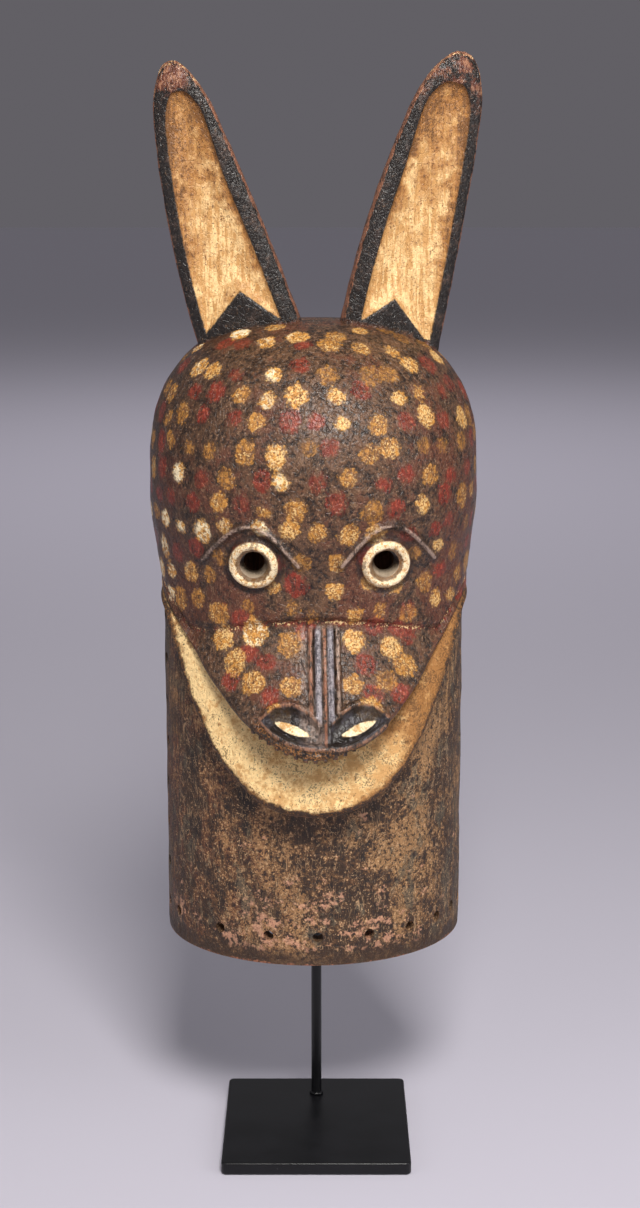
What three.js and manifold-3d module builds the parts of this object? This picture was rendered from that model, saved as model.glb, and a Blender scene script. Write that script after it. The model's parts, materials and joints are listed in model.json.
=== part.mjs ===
// A carved and painted wooden animal mask with tall ears, on the steel stand that holds it up.
// Units are millimetres, +Z is up and the mask looks along -Y.
// The origin is the centre of the base plate's underside.
import * as THREE from "three";
import { mergeVertices } from "three/addons/utils/BufferGeometryUtils.js";
import Module from "manifold-3d";

const wasm = await Module();
wasm.setup();

// Base plate
const plateSide = 150;
const plateThickness = 10;
const plateCornerRadius = 6;
const plateEdgeRound = 1.6;

// Rod with its two welded holders
const rodDiameter = 8.5;
const rodToPlateEdge = 28; // from the rod's axis to the plate's back edge
const rodSocketDepth = 6;
const fitGap = 0.3; // clearance wherever two pieces meet
const crownBarLength = 64;
const crownBarWidth = 12;
const crownBarThickness = 4;
const holderDrop = 1.6; // the crown bar stays this much under the hollow's curved top
const stayDiameter = 7;
const stayAboveRim = 40;
const stayPadDiameter = 16;
const stayPadThickness = 3;

// Mask shell: a half tube, open at the back, under a domed head
const rimAboveTable = 166;
const rodAheadOfShell = 5; // the rod's axis lies this far in front of the shell's widest plane
const maskTurn = 2; // degrees that the mask is turned on its stand
const maskOffset = -2; // sideways from the rod
const wall = 14;
const tubeHalfWidth = 119.5;
const tubeDepth = 105; // from the widest plane to the front of the tube
const backReach = 8; // from the widest plane to the open back edge
const headBackLow = 272; // the back of the head is closed above this height, and the tube below it is open
const headBackThickness = 6;
const headBackBulge = 15;
const headHalfWidth = 129.3;
const headDepth = 124;
const headSwellHeight = 268; // the head starts to swell out of the tube
const headWidestHeight = 366;
const headTopHeight = 495;
const crownSquareness = 2.75; // exponent of the dome's outline seen from the front
const foreheadSquareness = 2.2; // exponent of the dome's outline seen from the side

// Muzzle and lower jaw
const creaseHeight = 277; // the line where the forehead overhangs the muzzle, in the middle
const creaseDip = 14; // how much lower that line runs at the sides
const creaseGap = 7; // the least height between the mouth and that line
const foreheadOverhang = 4;
const muzzleReach = 54; // how far the lip stands out from the tube
const muzzleSpread = 31; // degrees round the tube in which the muzzle dies out
const cheekReach = 5;
const lipHeight = 182; // lowest point of the upper lip, above the rim
const lipRise = 108; // how much higher the mouth's corners are
const lipCurve = 1.5; // exponent of the lip's rise towards the sides
const jawLow = 131; // lowest point of the jaw's lower edge
const jawRise = 170;
const jawCurve = 2.4;
const jawReach = 29;
const jawEndHeight = 8;
const mouthSkew = -1.2; // degrees by which the carver set the mouth off the middle
const mouthCorner = 87; // degrees round the tube

// Eyes and brows
const eyeSpacing = 99;
const eyeHeight = 320;
const eyeOffset = 1.3; // the pair sits a little to the right of the middle
const eyeHoleDiameter = 22;
const eyeRingDiameter = 38.5;
const eyeRingWidth = 8.5;
const eyeRingHeight = 4;
const browHalfWidth = 36;
const browRise = 30;
const browOutward = 2.7; // the brow's middle lies this much outside the eye's
const browThickness = 4.4;

// Nose ridges, nostrils and teeth
const noseOffset = 4.2; // the nose was carved a little to the right of the middle
const noseRidgeInner = 4.9;
const noseRidgeOuter = 10.5;
const noseRidgeWide = 5;
const noseRidgeNarrow = 3.6;
const noseRidges = [
  { at: -noseRidgeOuter, width: noseRidgeNarrow },
  { at: -noseRidgeInner, width: noseRidgeWide },
  { at: noseRidgeInner, width: noseRidgeWide },
  { at: noseRidgeOuter, width: noseRidgeNarrow },
];
const noseLineWidth = 3.4;
const nostrilInner = 5.5;
const nostrilOuter = 48.5;
const nostrilArch = 12; // how high the upper rim arches over the straight line between its corners
const nostrilRimThickness = 3.2;
const nostrilDepth = 3;
const lipRidgeAbove = 9.5; // the ridge along the lip, above the toothed edge, in the middle
const lipRidgeRise = 16; // how much higher that ridge ends
const toothCount = 15;
const toothSize = 3.6;

// Lacing holes near the lower rim and the back edges
const laceHoleDiameter = 8;
const laceAboveRim = 24;
const lacePitch = 34;
const sideLaceAngle = 81;
const sideLaceCount = 8;
const rimLaceAngles = [-67, -40, -19, 0, 20, 38, 54, 68];

// Ears
const earSink = 34; // how deep an ear's root lies below the head's top
const earBaseThickness = 30;
const earTipThickness = 15;
const earHollowDepth = 7;
const earFrameWidth = 9.5;
const earBehindWidest = -10; // the middle of an ear's root lies this far in front of the widest plane
const earHollowLow = 0.14; // share of the ear's length where its hollow begins
const earHollowHigh = 0.91;
const earNotch = 0.1; // how far the point in the hollow's lower end rises, as a share of the length
const leftEar = {
  side: -1,
  length: 237,
  reach: 41.7, // from the middle of the head to the middle of the root
  lean: 19.2, // degrees at the root
  curl: 5.5, // degrees by which it straightens up to the tip
  opening: 6, // degrees that the hollow faces outwards
  halfWidth: 41.5,
  narrowing: 0.62, // share of the width lost towards the tip
  taper: 1.9, // exponent: a higher one keeps the width further up
};
const rightEar = {
  side: 1,
  length: 242,
  reach: 54,
  lean: 11,
  curl: -7,
  opening: 10,
  halfWidth: 40.5,
  narrowing: 0.52,
  taper: 2.4,
};

const degree = Math.PI / 180;
const clamp = THREE.MathUtils.clamp;
const lerp = THREE.MathUtils.lerp;

// Solids

function geometryOf(points, triangles) {
  const geometry = new THREE.BufferGeometry();
  geometry.setAttribute("position", new THREE.Float32BufferAttribute(points.flatMap((p) => [p.x, p.y, p.z]), 3));
  geometry.setIndex(triangles.flat());
  return geometry;
}

// A closed solid through rings that all have the same number of points, with a fan at each end.
function loft(rings) {
  const count = rings[0].length;
  const points = rings.flat();
  const triangles = [];
  for (let k = 0; k + 1 < rings.length; k++) {
    for (let i = 0; i < count; i++) {
      const a = k * count + i;
      const b = k * count + ((i + 1) % count);
      triangles.push([a, b, b + count], [a, b + count, a + count]);
    }
  }
  const middle = (ring) => ring.reduce((sum, p) => sum.add(p), new THREE.Vector3()).divideScalar(count);
  const low = points.push(middle(rings[0])) - 1;
  const high = points.push(middle(rings.at(-1))) - 1;
  const last = (rings.length - 1) * count;
  for (let i = 0; i < count; i++) {
    const next = (i + 1) % count;
    triangles.push([low, next, i], [high, last + i, last + next]);
  }
  return geometryOf(points, triangles);
}

function solid(geometry) {
  const bare = geometry.index ? geometry.clone() : geometry;
  const plain = new THREE.BufferGeometry().setAttribute("position", bare.getAttribute("position"));
  if (bare.index) plain.setIndex(bare.index);
  const merged = mergeVertices(plain, 1e-4);
  const mesh = { numProp: 3, vertProperties: merged.attributes.position.array, triVerts: new Uint32Array(merged.index.array) };
  const made = new wasm.Manifold(new wasm.Mesh(mesh));
  if (made.volume() > 0) return made;
  for (let i = 0; i < mesh.triVerts.length; i += 3) {
    [mesh.triVerts[i + 1], mesh.triVerts[i + 2]] = [mesh.triVerts[i + 2], mesh.triVerts[i + 1]];
  }
  return new wasm.Manifold(new wasm.Mesh(mesh));
}

function geometryFrom(made) {
  const mesh = made.getMesh();
  const geometry = new THREE.BufferGeometry();
  geometry.setAttribute("position", new THREE.BufferAttribute(new Float32Array(mesh.vertProperties), 3));
  geometry.setIndex(new THREE.BufferAttribute(new Uint32Array(mesh.triVerts), 1));
  const faceted = geometry.toNonIndexed();
  faceted.computeVertexNormals();
  return faceted;
}

// A round bar from one point to another.
function bar(from, to, diameter, sides = 16) {
  const along = to.clone().sub(from);
  const geometry = new THREE.CylinderGeometry(diameter / 2, diameter / 2, along.length(), sides);
  const turn = new THREE.Quaternion().setFromUnitVectors(new THREE.Vector3(0, 1, 0), along.clone().normalize());
  geometry.applyQuaternion(turn);
  const middle = from.clone().add(to).divideScalar(2);
  return geometry.translate(middle.x, middle.y, middle.z);
}

// A ridge along a line of points: each step has a round section that thins out to both ends.
function ridge(points, width, sides = 6, taper = 0.35) {
  const rings = points.map((point, k) => {
    const before = points[Math.max(k - 1, 0)];
    const after = points[Math.min(k + 1, points.length - 1)];
    const along = after.clone().sub(before).normalize();
    const out = new THREE.Vector3(0, -1, 0);
    const side = along.clone().cross(out).normalize();
    const up = side.clone().cross(along).normalize();
    const share = k / (points.length - 1);
    const radius = (width / 2) * (taper + (1 - taper) * Math.sin(Math.PI * share) ** 0.5);
    return Array.from({ length: sides }, (_, i) => {
      const turn = (2 * Math.PI * i) / sides;
      return point.clone().addScaledVector(side, radius * Math.cos(turn)).addScaledVector(up, radius * Math.sin(turn));
    });
  });
  return loft(rings);
}

// Form of the head, in the mask's own frame: the rim's plane is z = 0 and the widest plane is y = 0

function superellipse(share, power) {
  return (1 - clamp(share, 0, 1) ** power) ** (1 / power);
}

function swell(z) {
  const share = clamp((z - headSwellHeight) / (headWidestHeight - headSwellHeight), 0, 1);
  return (1 - Math.cos(share * Math.PI)) / 2;
}

function crownShare(z, shrink) {
  return (z - headWidestHeight) / (headTopHeight - shrink - headWidestHeight);
}

function halfWidthAt(z, shrink = 0) {
  const below = lerp(tubeHalfWidth, headHalfWidth, swell(z)) - shrink;
  return z <= headWidestHeight ? below : below * superellipse(crownShare(z, shrink), crownSquareness);
}

function depthAt(z, shrink = 0) {
  const below = lerp(tubeDepth, headDepth, swell(z)) - shrink;
  return z <= headWidestHeight ? below : below * superellipse(crownShare(z, shrink), foreheadSquareness);
}

// A point of the shell at an angle round it, 0 in front, pushed out by lift.
function shellPoint(angle, z, lift = 0) {
  const x = (halfWidthAt(z) + lift) * Math.sin(angle * degree);
  const y = -(depthAt(z) + lift) * Math.cos(angle * degree);
  return new THREE.Vector3(x, y, z);
}

function fade(angle) {
  return Math.sqrt(clamp(1 - (Math.abs(angle) / mouthCorner) ** 2, 0, 1));
}

function mouthHeight(angle) {
  return lipHeight + lipRise * Math.abs(Math.sin((angle - mouthSkew) * degree)) ** lipCurve;
}

function jawEdgeHeight(angle) {
  const edge = jawLow + jawRise * Math.abs(Math.sin((angle - mouthSkew) * degree)) ** jawCurve;
  return Math.min(edge, mouthHeight(angle) - jawEndHeight);
}

function creaseHeightAt(angle) {
  const dip = creaseDip * Math.sin(Math.min(1.6 * Math.abs(angle), 90) * degree) ** 2;
  return Math.max(creaseHeight - dip, mouthHeight(angle) + creaseGap);
}

function muzzleReachAt(angle) {
  const front = (muzzleReach - cheekReach) * Math.exp(-((angle / muzzleSpread) ** 2));
  return (front + cheekReach) * fade(angle);
}

function jawReachAt(angle) {
  const front = (jawReach - cheekReach * 1.6) * Math.exp(-((angle / (muzzleSpread * 1.3)) ** 2));
  return (front + cheekReach * 1.6) * fade(angle);
}

// One column of the outer surface, from the rim to the top: [height, how far it stands out].
function column(angle) {
  const mouth = mouthHeight(angle);
  const jaw = jawEdgeHeight(angle);
  const crease = creaseHeightAt(angle);
  const tall = mouth - jaw;
  const out = jawReachAt(angle);
  const lip = muzzleReachAt(angle);
  const groove = Math.min(out * 0.36, lip * 0.4);
  const muzzleTop = crease - 2;
  const thick = Math.min(4, (muzzleTop - mouth) * 0.2);
  const rows = [
    [0, 0],
    [jaw - tall * 0.14, 0],
    [jaw - tall * 0.03, out * 0.8],
    [jaw + tall * 0.06, out],
    [jaw + tall * 0.2, out * 0.97],
    [jaw + tall * 0.6, lerp(out, groove, 0.42)],
    [mouth - thick * 0.6, groove],
    [mouth + thick, groove],
    [mouth, lerp(groove, lip, 0.92)],
    [mouth + thick * 1.1, lip],
  ];
  for (const share of [0.2, 0.45, 0.72, 0.95]) {
    const z = lerp(mouth + thick * 1.1, muzzleTop, share);
    rows.push([z, lerp(lip, cheekReach * fade(angle) * 0.7, share ** 0.92)]);
  }
  const brow = foreheadOverhang * Math.cos(angle * degree);
  const free = headWidestHeight - crease;
  rows.push([crease, brow], [crease + 5, brow * 1.7], [crease + free * 0.2, brow * 1.2]);
  for (const share of [0.42, 0.7]) rows.push([crease + free * share, brow * 0.7 * (1 - share) ** 2]);
  for (const turn of [4, 20, 33, 45, 56, 66, 75, 83]) {
    const z = headWidestHeight + (headTopHeight - headWidestHeight) * Math.sin(turn * degree);
    rows.push([z, 0]);
  }
  return rows;
}

const frontAngles = [-90, -86, -81, -75, -69];
for (let angle = -63; angle < 0; angle += 5.25) frontAngles.push(angle);
const columnAngles = [...frontAngles, 0, ...frontAngles.map((angle) => -angle).reverse()];

// The head as a full body, before it is hollowed.
function headBody() {
  const columns = columnAngles.map(column);
  const rings = columns[0].map((_, k) => {
    const ring = columnAngles.map((angle, i) => shellPoint(angle, ...columns[i][k]));
    const right = ring.at(-1);
    const left = ring[0];
    return [...ring, new THREE.Vector3(right.x, backReach, right.z), new THREE.Vector3(left.x, backReach, left.z)];
  });
  const topHalf = halfWidthAt(headTopHeight - 0.01) + 8;
  rings.push(rings.at(-1).map((p) => {
    const pull = 0.3;
    return new THREE.Vector3(clamp(p.x * pull, -topHalf, topHalf), p.y > 0 ? p.y : p.y * pull, headTopHeight);
  }));
  return solid(loft(rings));
}

// What the carver takes out of the head, past the open back and below the rim.
function hollow() {
  const angles = Array.from({ length: 21 }, (_, i) => -90 + i * 9);
  const innerTop = headTopHeight - wall;
  const heights = [-wall, headSwellHeight, lerp(headSwellHeight, headWidestHeight, 0.4), headWidestHeight];
  for (const turn of [22, 42, 60, 74, 84]) heights.push(lerp(headWidestHeight, innerTop, Math.sin(turn * degree)));
  const rings = heights.map((z) => {
    const wide = halfWidthAt(z, wall);
    const deep = depthAt(z, wall);
    const ring = angles.map((a) => new THREE.Vector3(wide * Math.sin(a * degree), -deep * Math.cos(a * degree), z));
    const past = backReach + wall;
    return [...ring, new THREE.Vector3(wide, past, z), new THREE.Vector3(-wide, past, z)];
  });
  rings.push(rings.at(-1).map((p) => new THREE.Vector3(p.x * 0.3, p.y > 0 ? p.y : p.y * 0.3, innerTop)));
  return solid(loft(rings));
}

// The thin wall that closes the back of the head, behind the rod.
function headBack() {
  const inWall = wall * 0.45;
  const top = headTopHeight - inWall;
  const outer = backReach - fitGap;
  return solid(loft(line(5, (t) => {
    const z = lerp(headBackLow, top, t);
    const half = halfWidthAt(z) - inWall;
    const swell = headBackBulge * Math.cos((t * Math.PI) / 2) ** 0.8;
    const bulge = (s) => swell * (1 - s * s);
    const place = (s, y) => new THREE.Vector3(s * half, y + bulge(s), z);
    const front = line(4, (u) => place(2 * u - 1, outer - headBackThickness));
    return [...front, ...line(4, (u) => place(1 - 2 * u, outer))];
  })));
}

// Face carving

function muzzleLift(angle, z) {
  const rows = column(angle);
  for (let k = 0; k + 1 < rows.length; k++) {
    const [z0, lift0] = rows[k];
    const [z1, lift1] = rows[k + 1];
    const onMuzzle = k >= 9;
    if (onMuzzle && z >= z0 && z <= z1) return lerp(lift0, lift1, (z - z0) / (z1 - z0));
  }
  return z < creaseHeight ? muzzleReachAt(angle) : 0;
}

// The face's surface at a place seen from the front, raised by lift.
function facePoint(x, z, lift = 0) {
  let angle = 0;
  let stands = 0;
  for (let round = 0; round < 12; round++) {
    stands = muzzleLift(angle, z);
    angle = Math.asin(clamp(x / (halfWidthAt(z) + stands + lift), -1, 1)) / degree;
  }
  return shellPoint(angle, z, stands + lift);
}

function faceNormal(x, z) {
  const step = 2;
  const across = facePoint(x + step, z).sub(facePoint(x - step, z));
  const up = facePoint(x, z + step).sub(facePoint(x, z - step));
  return across.cross(up).normalize();
}

function line(count, at) {
  return Array.from({ length: count + 1 }, (_, i) => at(i / count));
}

function eyeTools(side) {
  const x = eyeOffset + (side * eyeSpacing) / 2;
  const centre = facePoint(x, eyeHeight);
  const normal = faceNormal(x, eyeHeight);
  const outer = eyeRingDiameter / 2;
  const hole = eyeHoleDiameter / 2;
  const crest = outer - eyeRingWidth / 2;
  const profile = [
    new THREE.Vector2(0, -eyeRingWidth),
    new THREE.Vector2(outer, -eyeRingWidth),
    new THREE.Vector2(outer, eyeRingHeight * 0.35),
    new THREE.Vector2(lerp(outer, crest, 0.5), eyeRingHeight * 0.9),
    new THREE.Vector2(crest, eyeRingHeight),
    new THREE.Vector2(lerp(hole, crest, 0.35), eyeRingHeight * 0.7),
    new THREE.Vector2(0, eyeRingHeight * 0.7),
  ];
  const turn = new THREE.Quaternion().setFromUnitVectors(new THREE.Vector3(0, 1, 0), normal);
  const ring = new THREE.LatheGeometry(profile, 18).applyQuaternion(turn).translate(centre.x, centre.y, centre.z);
  const reach = normal.clone().multiplyScalar(wall * 2.4);
  const bore = bar(centre.clone().sub(reach), centre.clone().add(reach), eyeHoleDiameter, 16);
  const brow = line(12, (t) => {
    const s = 2 * t - 1;
    const rise = browRise * Math.cos((s * Math.PI) / 2);
    return facePoint(x + side * browOutward + s * browHalfWidth, eyeHeight + rise, browThickness * 0.1);
  });
  return { add: [solid(ring), solid(ridge(brow, browThickness))], cut: [solid(bore)] };
}

// Heights over the rim, at a distance from the nose's middle.
function lipRidgeHeight(away) {
  return lipHeight + lipRidgeAbove + lipRidgeRise * (Math.abs(away) / nostrilOuter) ** 2.6;
}

function nostrilTop(away) {
  const share = (Math.abs(away) - nostrilInner) / (nostrilOuter - nostrilInner);
  const inner = lipHeight + lipRidgeAbove + lipRidgeRise + 1;
  return inner + nostrilArch * Math.sin(Math.PI * clamp(share, 0, 1)) ** 0.85;
}

function nosePoint(away, z, lift = 0) {
  return facePoint(noseOffset + away, z, lift);
}

function noseParts() {
  const top = creaseHeight - 5;
  const foot = nostrilTop(nostrilInner) + 4;
  const ridges = noseRidges.map(({ at, width }) => ridge(line(5, (t) => nosePoint(at, lerp(top, foot, t))), width, 6, 0.7));
  const low = lipHeight + lipRidgeAbove;
  const middle = ridge(line(6, (t) => nosePoint(0, lerp(top, low, t), 0.2)), noseLineWidth, 4, 0.75);
  return [...ridges, middle].map(solid);
}

function nostrilTools(side) {
  const rim = line(10, (t) => {
    const away = side * lerp(nostrilInner, nostrilOuter, t);
    return nosePoint(away, nostrilTop(away));
  });
  const pocket = line(7, (t) => {
    const away = side * lerp(nostrilInner, nostrilOuter, lerp(0.08, 0.9, t));
    const low = lipRidgeHeight(away) + nostrilRimThickness * 0.8;
    const high = Math.max(nostrilTop(away) - nostrilRimThickness * 0.7, low + 0.8);
    return [
      nosePoint(away, low, 4),
      nosePoint(away, high, 4),
      nosePoint(away, lerp(low, high, 0.82), -nostrilDepth),
      nosePoint(away, lerp(low, high, 0.18), -nostrilDepth),
    ];
  });
  return { add: [solid(ridge(rim, nostrilRimThickness))], cut: [solid(loft(pocket))] };
}

function lipParts() {
  const rim = ridge(line(16, (t) => {
    const away = (2 * t - 1) * nostrilOuter;
    return nosePoint(away, lipRidgeHeight(away));
  }), nostrilRimThickness);
  const teeth = line(toothCount - 1, (t) => {
    const angle = mouthSkew + (2 * t - 1) * 17;
    const root = shellPoint(angle, mouthHeight(angle) + 1.2, muzzleReachAt(angle) - toothSize * 0.5);
    return new THREE.BoxGeometry(toothSize, toothSize, toothSize).rotateZ(angle * degree).translate(root.x, root.y, root.z);
  });
  return [rim, ...teeth].map(solid);
}

function laceHoles() {
  const drill = (angle, z) => {
    const middle = shellPoint(angle, z);
    const next = shellPoint(angle + 1, z).sub(shellPoint(angle - 1, z));
    const out = new THREE.Vector3(-next.y, next.x, 0).normalize().multiplyScalar(wall * 1.6);
    return solid(bar(middle.clone().sub(out), middle.clone().add(out), laceHoleDiameter, 8));
  };
  const rim = rimLaceAngles.map((angle) => drill(angle, laceAboveRim));
  const sides = [-sideLaceAngle, sideLaceAngle].flatMap((angle) =>
    Array.from({ length: sideLaceCount }, (_, i) => drill(angle, laceAboveRim + i * lacePitch)));
  return [...rim, ...sides];
}

// Ears: made upright with the root's middle at the origin and the hollow towards -Y

function earHalfWidth(ear, share) {
  const body = 1 - ear.narrowing * share ** ear.taper;
  const tip = superellipse((share - 0.8) / 0.2, 2.3);
  return ear.halfWidth * body * tip;
}

// The middle of the ear bends towards upright as it rises.
function earMiddle(ear, share) {
  const steps = 12;
  const middle = new THREE.Vector3();
  for (let i = 0; i < steps; i++) {
    const at = ((i + 0.5) / steps) * share;
    const lean = (ear.lean - ear.curl * at) * degree;
    middle.x += (ear.side * Math.sin(lean) * ear.length * share) / steps;
    middle.z += (Math.cos(lean) * ear.length * share) / steps;
  }
  return middle;
}

function earSection(ear, share) {
  const wide = Math.max(earHalfWidth(ear, share), 3);
  const thick = lerp(earBaseThickness, earTipThickness, share ** 0.8) * (share > 0.97 ? 0.7 : 1);
  const lean = (ear.lean - ear.curl * share) * ear.side * degree;
  const middle = earMiddle(ear, share);
  const outline = [];
  const backSteps = 7;
  for (let i = 0; i <= backSteps; i++) {
    const turn = (Math.PI * i) / backSteps;
    outline.push([wide * Math.cos(turn), thick * (0.45 * Math.sin(turn) ** 0.8)]);
  }
  for (const x of [-0.97, -0.8, -0.3, 0.3, 0.8, 0.97]) outline.push([x * wide, -thick * 0.5 * (1 - 0.25 * x * x)]);
  const opening = ear.opening * ear.side * degree;
  return outline.map(([x, y]) => {
    const across = x * Math.cos(opening) - y * Math.sin(opening);
    const deep = x * Math.sin(opening) + y * Math.cos(opening);
    return new THREE.Vector3(middle.x + across * Math.cos(lean), deep, middle.z - across * Math.sin(lean));
  });
}

function earBody(ear) {
  const shares = [0, 0.14, 0.28, 0.41, 0.54, 0.66, 0.76, 0.84, 0.9, 0.94, 0.97, 0.99];
  return loft(shares.map((share) => earSection(ear, share)));
}

// The hollow in the ear's front: a long leaf whose lower end has a raised point in the middle.
function earHollow(ear) {
  const rows = 10;
  const across = 8;
  const opening = ear.opening * ear.side * degree;
  const surface = (depthShare) => (u, v) => {
    const notch = earNotch * (1 - Math.abs(2 * u - 1)) * (1 - v);
    const share = lerp(earHollowLow, earHollowHigh, v) + notch;
    const wide = Math.max(earHalfWidth(ear, share) - earFrameWidth, 2) * lerp(1, 0.75, v ** 8);
    const thick = lerp(earBaseThickness, earTipThickness, share ** 0.8);
    const x = (2 * u - 1) * wide;
    const bowl = Math.sqrt(Math.max(1 - (2 * u - 1) ** 2, 0)) * Math.sin(Math.PI * clamp(v * 0.94 + 0.06, 0, 1)) ** 0.35;
    const front = -thick * 0.5 * (1 - 0.25 * (x / (wide + earFrameWidth)) ** 2);
    const y = front - 6 + depthShare * (6 + 1 + earHollowDepth * bowl);
    const lean = (ear.lean - ear.curl * share) * ear.side * degree;
    const middle = earMiddle(ear, share);
    const moved = x * Math.cos(opening) - y * Math.sin(opening);
    const deep = x * Math.sin(opening) + y * Math.cos(opening);
    return new THREE.Vector3(middle.x + moved * Math.cos(lean), deep, middle.z - moved * Math.sin(lean));
  };
  const rings = Array.from({ length: rows + 1 }, (_, k) => {
    const v = k / rows;
    const outer = line(across, (u) => surface(0)(u, v));
    const inner = line(across, (u) => surface(1)(u, v)).reverse();
    return [...outer, ...inner];
  });
  return loft(rings);
}

function placedEar(ear) {
  const x = ear.side * ear.reach;
  const z = headTopHeight - earSink;
  const place = (geometry) => solid(geometry.translate(x, earBehindWidest, z));
  return place(earBody(ear)).subtract(place(earHollow(ear)));
}

function maskSolid() {
  const eyes = [-1, 1].map(eyeTools);
  const nostrils = [-1, 1].map(nostrilTools);
  const ears = [leftEar, rightEar].map(placedEar);
  let mask = headBody();
  for (const cut of nostrils.flatMap((n) => n.cut)) mask = mask.subtract(cut);
  for (const part of [...ears, ...noseParts(), ...lipParts()]) mask = mask.add(part);
  for (const part of [...eyes, ...nostrils].flatMap((tool) => tool.add)) mask = mask.add(part);
  mask = mask.subtract(hollow()).add(headBack());
  for (const cut of [...eyes.flatMap((eye) => eye.cut), ...laceHoles()]) mask = mask.subtract(cut);
  return mask;
}

// Stand

function basePlate() {
  const half = plateSide / 2 - plateEdgeRound;
  const radius = Math.max(plateCornerRadius - plateEdgeRound, 0.5);
  const outline = new THREE.Shape();
  for (const [x, y, turn] of [[1, -1, -90], [1, 1, 0], [-1, 1, 90], [-1, -1, 180]]) {
    outline.absarc(x * (half - radius), y * (half - radius), radius, turn * degree, (turn + 90) * degree, false);
  }
  const plate = new THREE.ExtrudeGeometry(outline, {
    depth: plateThickness - 2 * plateEdgeRound,
    bevelThickness: plateEdgeRound,
    bevelSize: plateEdgeRound,
    bevelSegments: 2,
    curveSegments: 3,
  }).translate(0, 0, plateEdgeRound);
  const rodY = plateSide / 2 - rodToPlateEdge;
  const floor = new THREE.Vector3(0, rodY, plateThickness - rodSocketDepth);
  const above = new THREE.Vector3(0, rodY, plateThickness * 2);
  const socket = solid(bar(floor, above, rodDiameter + 2 * fitGap));
  return solid(plate).subtract(socket);
}

// The rod and its two holders stand in the mask's frame and take their places from the hollow they touch.
const rodX = -maskOffset;
const rodY = -rodAheadOfShell;

function onRod(y, z) {
  return new THREE.Vector3(rodX, y, z);
}

function rodWithCrownBar() {
  const barEnd = (crownBarLength / 2 + Math.abs(rodX)) / halfWidthAt(headWidestHeight, wall);
  const crownRise = headTopHeight - wall - headWidestHeight;
  const barTop = headWidestHeight + crownRise * superellipse(barEnd, crownSquareness) - holderDrop;
  const barMiddle = barTop - crownBarThickness / 2;
  const foot = plateThickness - rodSocketDepth + fitGap - rimAboveTable;
  const rod = bar(onRod(rodY, foot), onRod(rodY, barMiddle), rodDiameter, 20);
  const crownBar = new THREE.BoxGeometry(crownBarLength, crownBarWidth, crownBarThickness);
  crownBar.translate(rodX, rodY, barMiddle);
  return solid(rod).add(solid(crownBar));
}

// The stay is welded to the front of the rod and holds a round pad against the tube's wall.
function stayWithPad() {
  const root = rodY - rodDiameter / 2 - fitGap;
  const padEdge = (stayPadDiameter / 2 + Math.abs(rodX)) / (tubeHalfWidth - wall);
  const padFace = fitGap * 2 - depthAt(stayAboveRim, wall) * superellipse(padEdge, 2);
  const padBack = padFace + stayPadThickness;
  const stay = bar(onRod(root, stayAboveRim), onRod(padFace + 1, stayAboveRim), stayDiameter, 12);
  const pad = bar(onRod(padFace, stayAboveRim), onRod(padBack, stayAboveRim), stayPadDiameter, 16);
  return solid(stay).add(solid(pad));
}

const steel = new THREE.MeshStandardMaterial({ color: 0x15161a, roughness: 0.45, metalness: 0.6 });
const paintedWood = new THREE.MeshStandardMaterial({ color: 0x5a4032, roughness: 0.6, metalness: 0 });

function named(name, made, material) {
  const mesh = new THREE.Mesh(geometryFrom(made), material);
  mesh.name = name;
  return mesh;
}

const turned = new THREE.Group();
turned.position.set(0, plateSide / 2 - rodToPlateEdge, rimAboveTable);
turned.rotation.z = maskTurn * degree;

const carried = new THREE.Group();
carried.position.set(maskOffset, rodAheadOfShell, 0);
carried.add(named("mask", maskSolid(), paintedWood));
carried.add(named("stand_rod", rodWithCrownBar(), steel));
carried.add(named("stand_stay", stayWithPad(), steel.clone()));
turned.add(carried);

const object = new THREE.Group();
object.add(turned, named("base_plate", basePlate(), steel.clone()));
export default object;
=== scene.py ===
import bpy
import json
import math
import random
import numpy as np
from mathutils import Matrix, Vector, noise

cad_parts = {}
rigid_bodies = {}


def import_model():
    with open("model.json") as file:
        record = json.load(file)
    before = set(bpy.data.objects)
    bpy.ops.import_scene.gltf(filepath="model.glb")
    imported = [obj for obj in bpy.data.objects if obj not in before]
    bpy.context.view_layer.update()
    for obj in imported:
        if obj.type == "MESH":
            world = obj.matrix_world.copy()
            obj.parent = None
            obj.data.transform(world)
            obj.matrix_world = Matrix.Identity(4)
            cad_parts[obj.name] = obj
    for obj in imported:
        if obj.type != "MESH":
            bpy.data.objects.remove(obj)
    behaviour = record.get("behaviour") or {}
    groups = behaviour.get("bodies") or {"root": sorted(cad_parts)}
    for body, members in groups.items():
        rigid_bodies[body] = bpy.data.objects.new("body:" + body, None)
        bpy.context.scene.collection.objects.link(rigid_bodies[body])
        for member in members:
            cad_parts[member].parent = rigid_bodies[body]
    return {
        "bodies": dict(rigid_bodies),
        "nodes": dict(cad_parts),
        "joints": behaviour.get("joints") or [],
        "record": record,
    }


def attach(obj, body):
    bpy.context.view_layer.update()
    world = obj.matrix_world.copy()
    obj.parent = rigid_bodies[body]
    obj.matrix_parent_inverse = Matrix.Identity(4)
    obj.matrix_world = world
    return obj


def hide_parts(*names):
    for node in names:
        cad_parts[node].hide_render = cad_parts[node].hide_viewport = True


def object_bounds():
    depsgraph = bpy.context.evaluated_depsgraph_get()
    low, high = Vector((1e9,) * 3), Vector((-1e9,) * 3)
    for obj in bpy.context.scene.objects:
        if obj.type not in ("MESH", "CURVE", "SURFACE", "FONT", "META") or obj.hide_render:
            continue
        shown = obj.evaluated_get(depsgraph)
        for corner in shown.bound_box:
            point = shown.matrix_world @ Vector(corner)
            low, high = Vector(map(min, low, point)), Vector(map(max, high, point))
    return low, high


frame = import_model()
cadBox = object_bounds()
print("stage: frame loaded")

mm = 0.001

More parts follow.
